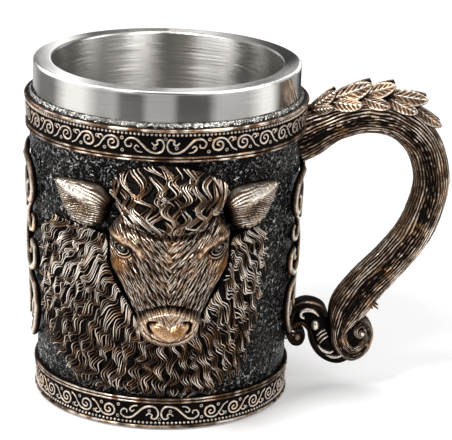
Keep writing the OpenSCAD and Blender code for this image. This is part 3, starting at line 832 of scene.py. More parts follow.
def fur_strokes(x, z, keep, seed):
    rng = np.random.default_rng(seed)
    ridge = np.zeros_like(x)
    z_line = z[:, 0]
    for cz in np.arange(z_line[0], z_line[-1], FUR_ROW):
        for cx in np.arange(-24, 24, FUR_PITCH):
            px, pz = cx + rng.uniform(-0.3, 0.3), cz + rng.uniform(-0.7, 0.7)
            long, wide = rng.uniform(1.1, 1.9), rng.uniform(0.22, 0.32)
            near_eye = math.exp(-((pz - 63) / 7) ** 2)
            lean = math.radians(30 + 12 * near_eye - 0.4 * min(abs(px), 16) + rng.uniform(-9, 9))
            dx, dz = -math.copysign(math.sin(lean), px), -math.cos(lean)
            low, high = np.searchsorted(z_line, (pz - 2.2, pz + 2.2))
            if low == high:
                continue
            off_x, off_z = x[low:high] - px, z[low:high] - pz
            along = off_x * dx + off_z * dz
            bend = 0.06 * along * along * math.copysign(1, px)
            u, v = along / long, (off_x * -dz + off_z * dx + bend) / wide
            hit = clamp(1 - u * u) ** 0.7 * clamp(1 - np.abs(v)) * rng.uniform(0.6, 1.1)
            ridge[low:high] = np.maximum(ridge[low:high], hit)
    return ridge * keep


print("fur strokes every", FUR_PITCH, "mm in rows of", FUR_ROW, "mm")


# %% Build both faces
def blur(grid, reach):
    kernel = np.hanning(2 * reach + 3)[1:-1]
    kernel /= kernel.sum()
    for axis in (0, 1):
        pad = np.pad(grid, [(reach, reach) if a == axis else (0, 0) for a in (0, 1)], mode="edge")
        grid = np.apply_along_axis(lambda line: np.convolve(line, kernel, "valid"), axis, pad)
    return grid


def evened(values):
    for k in range(3):
        values = np.convolve(np.pad(values, 5, mode="edge"), np.ones(11) / 11, "valid")
    return values


def face(side_name):
    z_line = np.arange(FACE_ROWS[0, 0], FACE_ROWS[-1, 0], FACE_STEP)
    width, height = (evened(np.interp(z_line, FACE_ROWS[:, 0], FACE_ROWS[:, k])) for k in (1, 2))
    even = np.linspace(-1, 1, FACE_COLS)
    side = (0.6 * even + 0.4 * np.sin(even * np.pi / 2))[None, :]
    s = width[:, None] * side
    z = np.broadcast_to(z_line[:, None], s.shape)
    a = np.abs(s)
    h, pad, block = face_form(a, z, side + 0 * s, height[:, None])
    eyes, q, marks, rings, grooves = eye_form(s, z)
    h = h + eyes
    across = s * (ARC_R + h) / ARC_R
    cheek = bump((a - 14.2) / 3.2, (z - 55.8) / 3.4)
    brow = near_line(a, z, BROW, 1.1) * smooth(58.5, 61.5, z)
    on_block, on_pad = smooth(1.02, 0.92, block), smooth(0.0, 0.4, pad)
    keep = smooth(1.8, 2.3, q) * (1 - on_pad) * (1 - 0.55 * brow) * (1 - 0.45 * cheek)
    fur = fur_strokes(across, z, keep, seed=3)
    rough = noise(np.stack([across, z, 0 * z], -1), 0.8, 4)
    raised = h - blur(h, 11)
    h = h + FUR_DEEP * fur * (1 - 0.6 * on_block) + 0.05 * rough * (1 - on_pad) - 0.25 * on_block
    form = np.clip(0.5 + 0.55 * raised, 0.1, 1)
    low_block = on_block * smooth(42, 39.5, z)
    # The bronze is rubbed on in turn: fur, cheekbone, muzzle and its rim, nose pad, brow, eyelids
    rubbed_on = [0.05 + 0.12 * form + (0.75 + 0.4 * form) * fur,
                 (0.4 + 0.25 * rough) * cheek,
                 (0.42 + 0.3 * rough + 0.4 * smooth(0.75, 0.98, block)) * low_block,
                 (0.5 + 0.7 * fur) * on_block,
                 (0.52 + 0.6 * np.clip(raised, 0, 0.6)) * on_pad,
                 (0.75 + 0.25 * rough) * brow,
                 0.95 * rings * smooth(2.0, 1.8, q)]
    dark = near_line(a, z, NOSTRIL, 0.38) + 0.8 * near_line(a, z, LIP, 0.3)
    dark = np.maximum(dark, grooves * smooth(2.0, 1.7, q))
    crest = np.max(rubbed_on, axis=0) * clamp(1 - 0.95 * dark)
    warm = clamp(1.2 * cheek + 0.9 * on_pad + 0.6 * on_block + 0.7 * brow)
    warm = warm * clamp(0.75 + 0.5 * rough)
    return wall_relief(side_name + "_bull_face", SIDES[side_name], s, z, h, bronze, step=12,
                       crest=crest, eye=marks, warm=warm)


for side_name in SIDES:
    finish_piece(face(side_name), side_name + "_face")

# %% [markdown]
# ## Ears
# Each ear is a leaf-shaped scoop whose root tucks under the forelock. Above a parting the hair runs
# lengthwise from root to tip. Below it the hair fans down to the lower edge, so the lanes are counted
# from the parting and bent by the square of the distance along the ear.


# %% Comb hair over a sheet
def combed(across, along, sway, wave, seed):
    together = noise(stacked(across / 4.5, along / 10, 0.0), 1.0, seed)
    alone = noise(stacked(across / 1.6, along / 5, 0.0), 1.0, seed + 1)
    lane = across + sway * np.sin(2 * np.pi * along / wave + 4.5 * together) + 0.4 * alone
    strength = noise(stacked(np.floor(lane), along / 6, 0.0), 1.0, seed + 2)
    return (0.5 - 0.5 * np.cos(2 * np.pi * lane)) * (0.75 + 0.25 * strength)


lane_height = combed(np.array([0.5]), np.array([0.0]), sway=0.2, wave=6.0, seed=6)
print("hair height half way across a lane", np.round(lane_height, 2))

# %% Ears
# Distance from the root, lower edge, upper edge and how far the ear stands out
EAR_ROWS = [(0.0, -4.0, 3.2, 5.4), (2.5, -6.2, 4.8, 6.0), (5.5, -7.7, 5.7, 6.0), (10.5, -7.1, 4.7, 5.0),
            (15.5, -4.2, 3.0, 3.4), (18.6, -2.0, 1.6, 2.3), (20.5, -0.35, 0.35, 1.5)]
EAR_ROOT_S, EAR_ROOT_Z, EAR_LIFT = {"left": 18.0, "right": 16.4}, 71.8, 15
EAR_HAIR_MM, EAR_PARTING, EAR_LANES_MM, EAR_BEND_MM = 0.75, 0.8, 4.5, 34
EAR_GRID, EAR_EDGE, SCOOP_DEEP, EAR_HAIR_DEEP = 170, 0.6, 2.0, 0.55


def ear(side_name, mirror, name):
    rows = curve_points(EAR_ROWS, EAR_GRID)
    u = np.linspace(0, 1, EAR_GRID)[None, :]
    along, low, high, stand = (rows[:, k:k + 1] for k in range(4))
    fringe = 1 + 0.05 * np.sin(along * 3.1) + 0.05 * np.sin(along * 5.3 + 1)
    off = low * fringe + (high - low * fringe) * u
    above = EAR_LANES_MM * (off - EAR_PARTING) / np.maximum(high - EAR_PARTING, 0.3)
    droop = np.where(off < EAR_PARTING, off - EAR_PARTING, above)
    droop = droop + along ** 2 / EAR_BEND_MM * smooth(EAR_PARTING + 2, EAR_PARTING, off)
    fold = bump((u - 0.72) / 0.2, (along - 13) / 7)
    hair = combed(droop / EAR_HAIR_MM, along, sway=0.18, wave=6.0, seed=6) * (1 - 0.7 * fold)
    scoop = SCOOP_DEEP * bump((u - 0.45) / 0.16, (along - 8.0) / 6)
    rim = 0.9 * bump((u - 0.76) / 0.14) * smooth(0, 4, along)
    edge = np.sqrt(clamp(1 - np.abs(2 * u - 1) ** 6))
    h = EAR_EDGE + (stand - EAR_EDGE - scoop + rim) * edge + EAR_HAIR_DEEP * (hair - 0.5) * edge
    t = math.radians(EAR_LIFT)
    s = mirror * (EAR_ROOT_S[name] + along * math.cos(t) - off * math.sin(t))
    z = EAR_ROOT_Z + along * math.sin(t) + off * math.cos(t)
    # The hollow of the scoop is painted darker, as shade.
    crest = (0.4 + 0.85 * hair ** 1.3) * (1 - 0.35 * scoop / SCOOP_DEEP) + 0.65 * fold
    crest = clamp(crest) * smooth(0, 0.3, edge) * smooth(-1.0, 3.0, along)
    az = SIDES[side_name]
    return wall_relief(f"{side_name}_{name}_bull_ear", az, s, z, h, bronze, step=10, crest=crest)


for side_name in SIDES:
    for mirror, name in ((-1, "left"), (1, "right")):
        finish_piece(ear(side_name, mirror, name), f"{side_name}_{name}_ear")

# %% [markdown]
# ## Mane
# The mane is a coat of wavy hair that leaves the face and runs out and down in many locks. A casting
# like this is carved as ridges in one surface, and hair could also be scattered as curves. Both are
# used here. The coat is a dark relief whose ridges come from counting strands across it and letting the
# count sway from root to tip. Over it lie tiers of locks, each of a few bars from the tree above that
# sway together and close to a tip like a flame.

# %% Draw the mane
# Root and tip of the hair, round the face from the far side to the handle side: s and z of each
MANE_ROWS = [
    (-40, 65.2, -45.6, 57.6), (-32, 64.8, -47, 49), (-24.4, 64.4, -47.4, 40), (-18.4, 63, -46.2, 30.6),
    (-18, 55.6, -43, 22), (-15.2, 48.4, -37, 16.4), (-11.4, 42, -28.6, 13.2), (-8.6, 36.2, -19, 12.2),
    (-5.2, 31.2, -9.6, 11.8), (0, 30.2, 0, 11.6), (5.2, 31.2, 8.8, 11.8), (8.6, 36.2, 16.4, 12.6),
    (11.4, 42, 23, 16), (15.2, 48.4, 27.4, 23.6), (18, 55.6, 29.4, 33), (18.4, 63, 31.2, 43),
    (23.4, 64.4, 32.4, 52), (29.6, 64.6, 32.2, 59.6)]


def hair_place(rows, u, v):
    row = curve_at(rows, v)
    return row[..., :2] + (row[..., 2:] - row[..., :2]) * np.asarray(u)[..., None]


def hair_length(rows, v):
    row = curve_at(rows, v)
    return np.linalg.norm(row[..., 2:] - row[..., :2], axis=-1)


print("mane hair is", np.round(hair_length(MANE_ROWS, np.array([0.25, 0.5, 0.75])), 1), "mm long")

# %% Lay locks over a sheet
# Lengths in mm, except the strands in a lock and how open its root is as a share of full width
MANE_STYLE = {"pitch": 3.3, "strands": 4, "gap": 0.95, "long": 9.5, "under": 2.4, "overhang": 1.6,
              "step": 0.42, "wave": 6.4, "swing": 0.8, "lean": 1.8, "root": 0.7, "girth": 0.25, "rise": 0.3,
              "lap": 0.7}


# Height is a function of u along the hair, v across the sheet and the spot on the wall. Each sheet's own
# function uses the ones it needs.
def hair_locks(az, rows, style, height, seed):
    rng = np.random.default_rng(seed)
    v_line = np.linspace(0, 1, 200)
    ends = [hair_place(rows, np.full(200, u), v_line) for u in (0, 1)]
    wide = [np.linalg.norm(np.diff(end, axis=0), axis=1).sum() for end in ends]
    lanes = int(wide[0] / style["pitch"])
    tier_mm = style["long"] - style["under"]
    paths = []
    for lane in range(lanes):
        v0 = (lane + rng.uniform(0.4, 0.6)) / lanes
        full = float(hair_length(rows, np.array(v0)))
        offset = rng.uniform(0.3, 0.9)
        for tier in range(int(full / tier_mm) + 2):
            start = (tier - offset) * tier_mm
            end = start + style["long"] * rng.uniform(0.8, 1.25)
            end = min(end, full + style["overhang"] * rng.uniform(-0.5, 1))
            phase, lean = rng.uniform(-1.2, 1.2) + 0.9 * lane, style["lean"] * rng.uniform(-1, 1)
            wave, swing = style["wave"] * rng.uniform(0.8, 1.2), style["swing"] * rng.uniform(0.7, 1.25)
            for k in range(style["strands"]):
                along = np.arange(max(start, -0.3), end - rng.uniform(0, 1.6), style["step"])
                if len(along) < 6:
                    continue
                t = (along - start) / (end - start)
                u = along / full
                local = wide[0] + (wide[1] - wide[0]) * clamp(u)
                opening = np.minimum(style["root"] + 1.8 * clamp(t), 1)
                flame = opening * clamp(1.04 - t) ** 0.55
                across = (k - (style["strands"] - 1) / 2) * style["gap"] * local / wide[0] * flame
                stray = noise(stacked((v0 * wide[0] + across) / 3, along / 6, 0.0), 1.0, seed + 1)
                beat = 2 * np.pi * along / wave + phase + 1.6 * stray + rng.uniform(-0.3, 0.3)
                side = across + swing * np.sin(beat) * (0.8 + 0.4 * t) + lean * t * t
                v = clamp(v0 + side / local)
                spot = hair_place(rows, np.maximum(u, 0), v)
                s, z = spot[:, 0], spot[:, 1]
                h = height(clamp(u), v, spot) + style["rise"] + rng.uniform(-0.2, 0.3)
                h = h + style["lap"] * (t - 0.5)
                girth = style["girth"] * rng.uniform(0.75, 1.25)
                girth = girth * (0.35 + 0.75 * np.sin(np.pi * np.clip(t, 0.1, 0.97)))
                # The rub varies at random from strand to strand. Over that, each strand's root is painted
                # darker as shade under the lock above, each wave is painted lighter and darker along its
                # length as a highlight, and the hair is darker low on the wall, brightest between 50 and 62
                # mm up, and darker again above.
                rub = rng.uniform(0.55, 1.2) * (0.6 + 0.4 * smooth(0, 0.3, t))
                rub = rub * (0.82 + 0.3 * np.cos(beat + 0.6))
                rub = rub * (0.9 + 0.4 * smooth(25, 50, z) - 0.3 * smooth(62, 68, z))
                paths.append(wall_path(az, s, z, h, girth, rub))
    print(lanes, "lanes, root and tip line", np.round(wide, 1), "mm,", len(paths), "strands")
    return paths


print("mane locks", MANE_STYLE["long"], "mm long,", MANE_STYLE["strands"], "strands each")

# %% Mane
MANE_OUT, MANE_EDGE, MANE_FOLDS, FOLD_H = 3.4, 1.1, 25, 0.5
COAT_STRANDS, COAT_SHINE = 90, 0.1


def fold_turn(u, v):
    return 2 * np.pi * (MANE_FOLDS * v + 0.2 * np.sin(2 * np.pi * (1.2 * u + 6 * v)))


def mane_height(u, v, spot):
    fold = FOLD_H * np.cos(fold_turn(u, v)) * np.minimum(1, 4 * u)
    by_face = smooth(0.1, 0.19, v) * smooth(0.98, 0.9, v)
    rooted = by_face + (1 - by_face) * (0.25 + 0.75 * smooth(0, 0.4, u))
    return (MANE_OUT - FOLD_H + (MANE_EDGE - MANE_OUT + FOLD_H) * u * u) * rooted + fold


def sheet_grid(rows, cols):
    return np.broadcast_arrays(np.linspace(0, 1, rows)[:, None], np.linspace(0, 1, cols)[None, :])


def hair_piece(name, az, spot, h, hair, strands, sides):
    s, z = spot[..., 0], spot[..., 1]
    coat = wall_relief(name + "_coat", az, s, z, h, bronze, step=6, crest=COAT_SHINE * hair ** 2)
    locks = bars_object(name + "_strands", strands, sides, flatness=1.1)
    return joined(name, [coat, locks])


def mane(side_name):
    az = SIDES[side_name]
    v, u = sheet_grid(300, 40)
    hair = combed(COAT_STRANDS * v, u * hair_length(MANE_ROWS, v), sway=0.6, wave=5.4, seed=5)
    spot = hair_place(MANE_ROWS, u * (0.93 + 0.04 * np.cos(fold_turn(u, v)) + 0.03 * hair), v)
    h = (mane_height(u, v, spot) + 0.5 * (hair - 0.8)) * smooth(1.02, 0.93, u) - 0.1
    strands = hair_locks(az, MANE_ROWS, MANE_STYLE, mane_height, seed=17)
    return hair_piece(side_name + "_bull_mane", az, spot, h, hair, strands, sides=5)


for side_name in SIDES:
    finish_piece(mane(side_name), side_name + "_mane")

# %% [markdown]
# ## Forelock
# A thick cap of hair covers the crown and hangs over the forehead in loose S-shaped locks. It is made
# as the mane is, over a domed cap, from locks of three thicker strands that swing further.

# %% Forelock
# Height up the wall, half width and how far the middle of the dome stands out
FORELOCK_DOME = np.array([
    (67.2, 9.6, 10.8), (68.6, 12.4, 11.7), (71, 14.2, 11.5), (74, 15.0, 10.5), (77.5, 15.9, 8.6),
    (80.5, 16.6, 6.4), (83.5, 13.4, 4.0), (86.4, 7.4, 1.6)])
FORELOCK_ROWS = [
    (-17.6, 77.4, -12.8, 72.6), (-16.4, 81.6, -9.6, 70.2), (-12.0, 84.8, -5.8, 68.3),
    (-4.8, 86.6, -2.2, 67.5), (1.4, 86.4, 1.0, 67.5), (7.6, 85.0, 4.2, 68.2), (12.2, 83.2, 7.6, 69.9),
    (15.4, 81.0, 10.6, 72.0), (17.4, 77.4, 13.0, 73.8)]
FORELOCK_EDGE, CAP_STRANDS = 1.4, 28
FORELOCK_STYLE = {"pitch": 2.7, "strands": 3, "gap": 1.15, "long": 9.5, "under": 2.6, "overhang": 0.6,
                  "step": 0.42, "wave": 7.0, "swing": 1.2, "lean": 2.6, "root": 0.25, "girth": 0.31,
                  "rise": 0.3, "lap": 0.9}


def forelock_height(u, v, spot):
    half, top = (np.interp(spot[..., 1], FORELOCK_DOME[:, 0], FORELOCK_DOME[:, k]) for k in (1, 2))
    side = clamp(np.abs(spot[..., 0]) / half)
    return FORELOCK_EDGE + (top - FORELOCK_EDGE) * clamp(1 - side ** 2.4) ** 0.5


def forelock(side_name):
    az = SIDES[side_name]
    v, u = sheet_grid(160, 70)
    hair = combed(CAP_STRANDS * v, u * hair_length(FORELOCK_ROWS, v), sway=0.8, wave=7.0, seed=9)
    spot = hair_place(FORELOCK_ROWS, u * (0.94 + 0.06 * hair), v)
    h = forelock_height(u, v, spot) + 0.6 * (hair - 1)
    strands = hair_locks(az, FORELOCK_ROWS, FORELOCK_STYLE, forelock_height, seed=29)
    return hair_piece(side_name + "_bull_forelock", az, spot, h, hair, strands, sides=6)


for side_name in SIDES:
    finish_piece(forelock(side_name), side_name + "_forelock")

# %% [markdown]
# ## Side panels
# Two tall panels of open scrollwork part the front scene from the back one. Half of a panel is drawn
# as a few C and S curves, mirrored, and swept by the bar tree straight onto the wall. On the handle
# side the curves stop where the bracket stands.

# %% Side panels
# Each curve as distance from the middle of the panel and height, then its girth
PANEL_CURVES = [
    ([(0, 76.5), (4, 78.6), (9.5, 78.8), (14.5, 76), (16.4, 70.5), (14, 66), (10.4, 66.6), (9.6, 69.8),
      (11.6, 71.6)], 1.35),
    ([(1.2, 73.5), (4.8, 71), (6.2, 66), (4, 61.5), (1, 62.2), (1.4, 65)], 1.0),
    ([(13.6, 65.4), (9.4, 61.5), (10.4, 57), (14.4, 56.4), (15.4, 59.6), (13.2, 60.8)], 1.05),
    ([(7.4, 59.5), (3.8, 53.5), (5.4, 46), (11, 43), (15.6, 45.4), (16, 50), (13, 52), (11.4, 49.6)], 1.25),
    ([(0.4, 58), (2.6, 54), (1.2, 50)], 0.9),
    ([(4, 44.5), (8.4, 39.5), (13.6, 38), (16, 33.5), (15.2, 27), (11.4, 21.5), (6, 18.8), (0.6, 18.6)], 1.3),
    ([(0.6, 42), (4.8, 37.5), (6.8, 31.5), (4.6, 26), (1.4, 26.6), (2, 30)], 1.05),
    ([(12.4, 34), (9.8, 30), (10.6, 26.4), (12.8, 27.6)], 0.8),
]
PANEL_STUDS = [(0, 69.5), (0, 47), (9.3, 55), (8.8, 47.5), (0, 35), (11.2, 31.6), (0, 22.5)]
PANEL_FOOT, PANEL_H, BRACKET_HALF, SHORTEST_RUN = 17.8, 61.2, 6.4, 8
STUD_LONG, STUD_GIRTH, STUD_POINTS = 1.1, 1.15, 7


def panel(name, az, z0, z1, bracket_top):
    def drawn_z(z):
        return z0 + (z - PANEL_FOOT) * (z1 - z0) / PANEL_H

    def clear(s, z):
        return ~((np.abs(s) < BRACKET_HALF) & (z < bracket_top))

    paths = []
    for points, girth in PANEL_CURVES:
        line = curve_points(points, 7 * len(points))
        t = np.linspace(0, 1, len(line))
        thick = girth * (0.5 + 0.5 * np.sin(np.pi * clamp(0.06 + 0.9 * t)) ** 0.7)
        s, z = line[:, 0], drawn_z(line[:, 1])
        free = clear(s, z)
        s, z, thick = s[free], z[free], thick[free]
        if len(s) > SHORTEST_RUN:
            paths += [wall_path(az, mirror * s, z, 0.55 + 0.7 * thick, thick) for mirror in (-1, 1)]
    a = np.linspace(0, np.pi, STUD_POINTS)
    for s, z in PANEL_STUDS:
        z = drawn_z(z)
        for mirror in ((-1, 1) if s else (1,)):
            if clear(np.float64(s), z):
                paths.append(wall_path(az, np.full(STUD_POINTS, mirror * s), z + STUD_LONG * np.cos(a), 0.7,
                                       STUD_GIRTH * np.sqrt(np.sin(a) + 0.02)))
    return bars_object(name, paths, sides=8, flatness=0.95)


finish_piece(panel("far_scroll_panel", az=180, z0=17.8, z1=79, bracket_top=0), "far_side_panel")
finish_piece(panel("handle_scroll_panel", az=0, z0=20.5, z1=75.2, bracket_top=30.2), "handle_side_panel")

# %% [markdown]
# ## Handle
# The arm is a swept bar with an oval section that ends in a volute. It is carved with long irregular
# ribs like old wood, cut into the section as sharp ridges that wander a little along the length. The
# sweep is plain array work, because every ring needs its own ribs.

# %% Sweep along the arm
# Middle line of the arm in x and z, then half the thickness and half the depth
ARM_ROWS = [
    (41, 83.9, 8.3, 7.3), (45.5, 85.6, 7.6, 7.2), (53, 89.4, 6.2, 6.8), (63.5, 92, 6, 6.8),
    (74, 90, 5.9, 6.8), (81.6, 82.6, 5.9, 6.8), (84.7, 72, 5.9, 6.8), (83.2, 62, 6, 6.8),
    (79.6, 53, 6.1, 6.8), (73.2, 44.2, 6.1, 6.8), (65.8, 35.8, 6.4, 6.8), (60.0, 27.4, 6.3, 6.8),
    (57.3, 20.2, 3.5, 6.4), (58.4, 15.0, 3.1, 5.9), (61.6, 12.1, 2.9, 5.5), (65.2, 13.8, 2.4, 5.1),
    (67.0, 18.2, 1.9, 4.8), (65.6, 22.4, 1.65, 4.6), (63.4, 21.8, 1.35, 4.5), (62.9, 19.6, 1.15, 4.4),
    (64.2, 18.2, 1.0, 4.3), (65.4, 19.0, 0.7, 4.2)]
ARM_STEPS, ARM_SIDES = 430, 216


def path_normals(path):
    along = np.gradient(path[:, :2], axis=0)
    along /= np.linalg.norm(along, axis=1)[:, None]
    return np.stack([-along[:, 1], along[:, 0]], -1)


def swept_points(path, turn, inset, power=1.0):
    normal = path_normals(path)
    c, n = np.cos(turn), np.sin(turn)
    c, n = np.sign(c) * np.abs(c) ** power, np.sign(n) * np.abs(n) ** power
    a = (path[:, 2:3] - inset) * c
    b = (path[:, 3:4] - inset) * n
    return np.stack([path[:, :1] + normal[:, :1] * a, b, path[:, 1:2] + normal[:, 1:] * a], -1)


path = curve_points(ARM_ROWS, ARM_STEPS)
turn = full_turn(ARM_SIDES)
reach = np.concatenate([[0], np.cumsum(np.linalg.norm(np.diff(path[:, :2], axis=0), axis=1))])[:, None]
print("arm", round(float(reach[-1, 0]), 1), "mm long")

# %% Carve the ribs
RIBS, RIB_DEPTH, VALLEY_DEPTH, NICK_DEPTH = 36, 0.5, 0.45, 0.35
VALLEY_AT, VALLEY_HALF, FULL_THICKNESS = 1.6, 0.3, 5.9


def arm_grain(long_mm, wide):
    return stacked(reach / long_mm, np.cos(turn) * wide, np.sin(turn) * wide)


def arm_flecks(long_mm, per_radian, seed):
    return noise(stacked(reach / long_mm, turn * per_radian, 0 * turn), 1.0, seed)


wander = noise(arm_grain(9, 2.2), 1.0, 31) + 0.5 * noise(arm_grain(9, 2.2) * 2.3, 1.0, 32)
ribs = 1 - np.abs(np.sin(RIBS * turn / 2 + 1.5 * wander))
deep = 0.65 + 0.35 * noise(arm_grain(14, 4), 1, 33)
valley = bump(np.abs(np.abs(np.angle(np.exp(1j * turn))) - VALLEY_AT) / VALLEY_HALF)[None, :]
nicks = clamp(arm_flecks(1.6, 9, 34) - 0.35)
size = np.clip(path[:, 2:3] / FULL_THICKNESS, 0.3, 1)
inset = size * (RIB_DEPTH * (1 - ribs) * deep + VALLEY_DEPTH * valley + NICK_DEPTH * nicks)
points = swept_points(path, turn, inset)
# Fine pale specks are painted glints added to the rub, most of them in the groove.
painted_glint = smooth(0.0, 0.55, arm_flecks(1.1, 17, 36))
curl = 0.45 * smooth(0.84, 0.9, np.linspace(0, 1, ARM_STEPS))[:, None]
mark = 0.03 + ribs ** 0.8 * deep * (1.2 + 0.45 * arm_flecks(2.6, 7, 35)) - 0.5 * valley - 0.4 * nicks
mark = clamp(mark + (0.15 + 0.42 * valley) * painted_glint + curl)
arm = mesh_object("ribbed_handle_arm", points.reshape(-1, 3), tube_faces(ARM_STEPS, ARM_SIDES), bronze,
                  crest=mark.ravel())
print(RIBS, "ribs round the arm")


# %% Volute and sprigs
def disc(name, x, z, r, half, crest):
    rings = [(0.02, half), (r - 0.5, half), (r - 0.15, half - 0.15), (r, half - 0.5)]
    rings += [(q, -w) for q, w in rings[::-1]]
    body = lathe(name, rings, 40, bronze, capped=True, crest=crest)
    body.data.transform(Matrix.Translation((x * MM, 0, z * MM)) @ Matrix.Rotation(math.pi / 2, 4, "X"))
    return body


def ball(name, centre, radii, crest):
    t = np.linspace(-np.pi / 2, np.pi / 2, 13)[1:-1, None]
    a = full_turn(20)
    grid = stacked(np.cos(t) * np.cos(a), np.cos(t) * np.sin(a), np.sin(t))
    verts = np.array(centre) + grid.reshape(-1, 3) * np.array(radii)
    return mesh_object(name, verts, tube_faces(*grid.shape[:2]), bronze, crest=np.full(len(verts), crest))


SPRIGS = [[(63.6, 34.2), (66.2, 31.8), (68.0, 29.8), (69.4, 28.6)],
          [(65.6, 33.6), (67.4, 31.4), (69.4, 29.8)], [(64.4, 31.6), (66.4, 29.8), (67.8, 28.6)]]
SPRIG_POINTS, SPRIG_Y, SPRIG_RUB = 14, 4.6, 0.35
web = disc("volute_web", x=64.0, z=18.6, r=4.6, half=2.6, crest=0.05)
volute_eye = ball("volute_eye", (64.9, 0, 19.5), (1.5, 5.3, 1.5), crest=1.0)
sprigs = []
for line, flank in itertools.product(SPRIGS, (-1, 1)):
    drawn = curve_points(line, SPRIG_POINTS)
    at_side = stacked(drawn[:, 0], SPRIG_Y * flank, drawn[:, 1])
    sprigs.append({"points": at_side, "girth": np.linspace(0.9, 0.25, SPRIG_POINTS), "rub": SPRIG_RUB,
                   "out": np.tile((0.3, 0.9 * flank, -0.3), (SPRIG_POINTS, 1))})
sprig = bars_object("arm_sprig", sprigs)
finish_piece(joined("ribbed_handle_arm", [arm, web, volute_eye, sprig]), "handle_arm")

# %% [markdown]
# ## Leaves
# A laurel spray lies along the top of the arm: a lower row drapes over each flank and an upper row
# stands along the ridge. One leaf is modelled with its midrib and side veins. Geometry Nodes set a copy
# at each place, turned by that place's own angles, because leaves are easiest to judge and move as
# plain pairs of base and tip.

# %% One leaf
LEAF_L, LEAF_W, VEIN_MM = 11.0, 2.75, 1.6
u = np.linspace(0, 1, 40)[:, None]
v = np.linspace(-1, 1, 25)[None, :]
half = LEAF_W * (u + 0.03) ** 0.6 * (1 - u + 0.004) ** 0.66 * 2.0
x, y = LEAF_L * u + 0 * v, half * v
midrib = 0.45 * bump(y / 0.3) * (1 - 0.6 * u)
veins = np.abs(np.cos(np.pi * (x - 1.2 * np.abs(y)) / VEIN_MM)) ** 3
cup = -0.7 * v ** 2 * (half / LEAF_W)
top = 0.7 + cup + midrib + 0.3 * veins * (1 - v ** 2) ** 0.4 + 0.3 * np.abs(v) ** 5 + 0.7 * u ** 2.2
front = np.stack([x, y, top], -1)
back = np.stack([x, y, top - 0.9 - 0.6 * (1 - v ** 2)], -1)
leaf_rub_and_painted_shade = 0.24 + 0.42 * veins * (1 - v ** 2) + 0.45 * bump(y / 0.28) + 0.6 * np.abs(v) ** 4
# The base of each leaf is painted darker, as shade.
leaf_rub_and_painted_shade = clamp(leaf_rub_and_painted_shade * smooth(-0.1, 0.3, u))
leaf = relief_mesh("laurel_leaf", front, back, bronze, step=6, crest=leaf_rub_and_painted_shade)
print("one leaf", LEAF_L, "mm long,", round(float(2 * half.max()), 2), "mm wide")

# %% Geometry Nodes: leaves along the arm
leaf_tree, leaf_ids, given = geometry_tree("leaves_on_points", {"Leaf": "Object", "Finish": "Material"})
shape = add(leaf_tree, "GeometryNodeObjectInfo", {"Object": given["Leaf"]})
leaf_turn = add(leaf_tree, "GeometryNodeInputNamedAttribute", {"Name": "turn"}, data_type="FLOAT_VECTOR")
leaf_size = add(leaf_tree, "GeometryNodeInputNamedAttribute", {"Name": "grown"})
to_turn = add(leaf_tree, "FunctionNodeEulerToRotation", {"Euler": leaf_turn})
leaves = add(leaf_tree, "GeometryNodeInstanceOnPoints",
             {"Points": given["Geometry"], "Instance": shape.outputs["Geometry"], "Rotation": to_turn,
              "Scale": leaf_size})
close_tree(leaf_tree, leaves, given["Finish"])

# %% Place the leaves
# Base and tip of each leaf on the near flank in mm, and the way its face looks
LEAVES = [
    ((45.6, -2.2, 93.0), (52.6, -5.4, 95.0), (0, -0.8, 0.6)),
    ((51.4, -1.6, 95.7), (61.5, -6.4, 95.8), (0, -0.8, 0.6)),
    ((61.0, -2.0, 97.6), (70.0, -6.4, 95.4), (0, -0.8, 0.6)),
    ((69.1, -1.8, 97.6), (78.5, -5.4, 93.4), (0.2, -0.8, 0.6)),
    ((77.6, -1.4, 94.9), (86.2, -2.6, 88.7), (0.5, -0.7, 0.5)),
    ((45.8, -0.9, 93.6), (53.4, -1.9, 99.4), (-0.3, -0.75, 0.6)),
    ((51.6, -0.9, 96.4), (64.6, -1.9, 101.6), (-0.2, -0.8, 0.6)),
    ((60.4, -0.9, 98.0), (72.0, -1.9, 101.5), (-0.1, -0.8, 0.6)),
    ((69.4, -0.9, 98.6), (82.0, -2.0, 96.8), (0.2, -0.8, 0.6))]
spots, turns, grown = [], [], []
for flank in (1, -1):
    for place in LEAVES:
        base, tip, facing = (Vector((x, y * flank, z)) for x, y, z in place)
        run = (tip - base).normalized()
        rise = (facing - run * facing.dot(run)).normalized()
        turns.append(Matrix((run, rise.cross(run), rise)).transposed().to_euler())
        spots.append(base * MM)
        grown.append((tip - base).length / LEAF_L)
mesh = bpy.data.meshes.new("leaf_places")
mesh.from_pydata(spots, [], [])
store_values(mesh, "turn", turns)
store_values(mesh, "grown", grown)
choices = {leaf_ids["Leaf"]: leaf, leaf_ids["Finish"]: bronze}
spray = settle(new_object("laurel_spray", mesh), leaf_tree, choices)
bpy.data.objects.remove(leaf)
print(len(spots), "leaves placed")

# %% Stem under the leaves
STEM_FROM, STEM_TO, STEM_POINTS, STEM_LIFT, STEM_RUB = 0.04, 0.2, 40, 0.3, 0.5
stem_line = curve_at(ARM_ROWS, np.linspace(STEM_FROM, STEM_TO, STEM_POINTS))
normal_x, normal_z = path_normals(stem_line).T
lift_by = stem_line[:, 2] + STEM_LIFT
stem_points = stacked(stem_line[:, 0] + normal_x * lift_by, 0.0, stem_line[:, 1] + normal_z * lift_by)
stem = bars_object("laurel_stem", [{"points": stem_points, "out": stacked(normal_x, 0.0, normal_z),
                                    "girth": np.linspace(1.7, 0.8, STEM_POINTS), "rub": STEM_RUB}])
finish_piece(joined("laurel_spray", [spray, stem]), "handle_leaves")

# %% [markdown]
# ## Bracket
# The lower end of the handle meets the wall through a carved bracket: an arch over a small volute, a
# bead, and a leaf that curls under the arm. It is built from ribbons swept across the bracket's depth,
# over a thinner web that keeps the hollows dark.

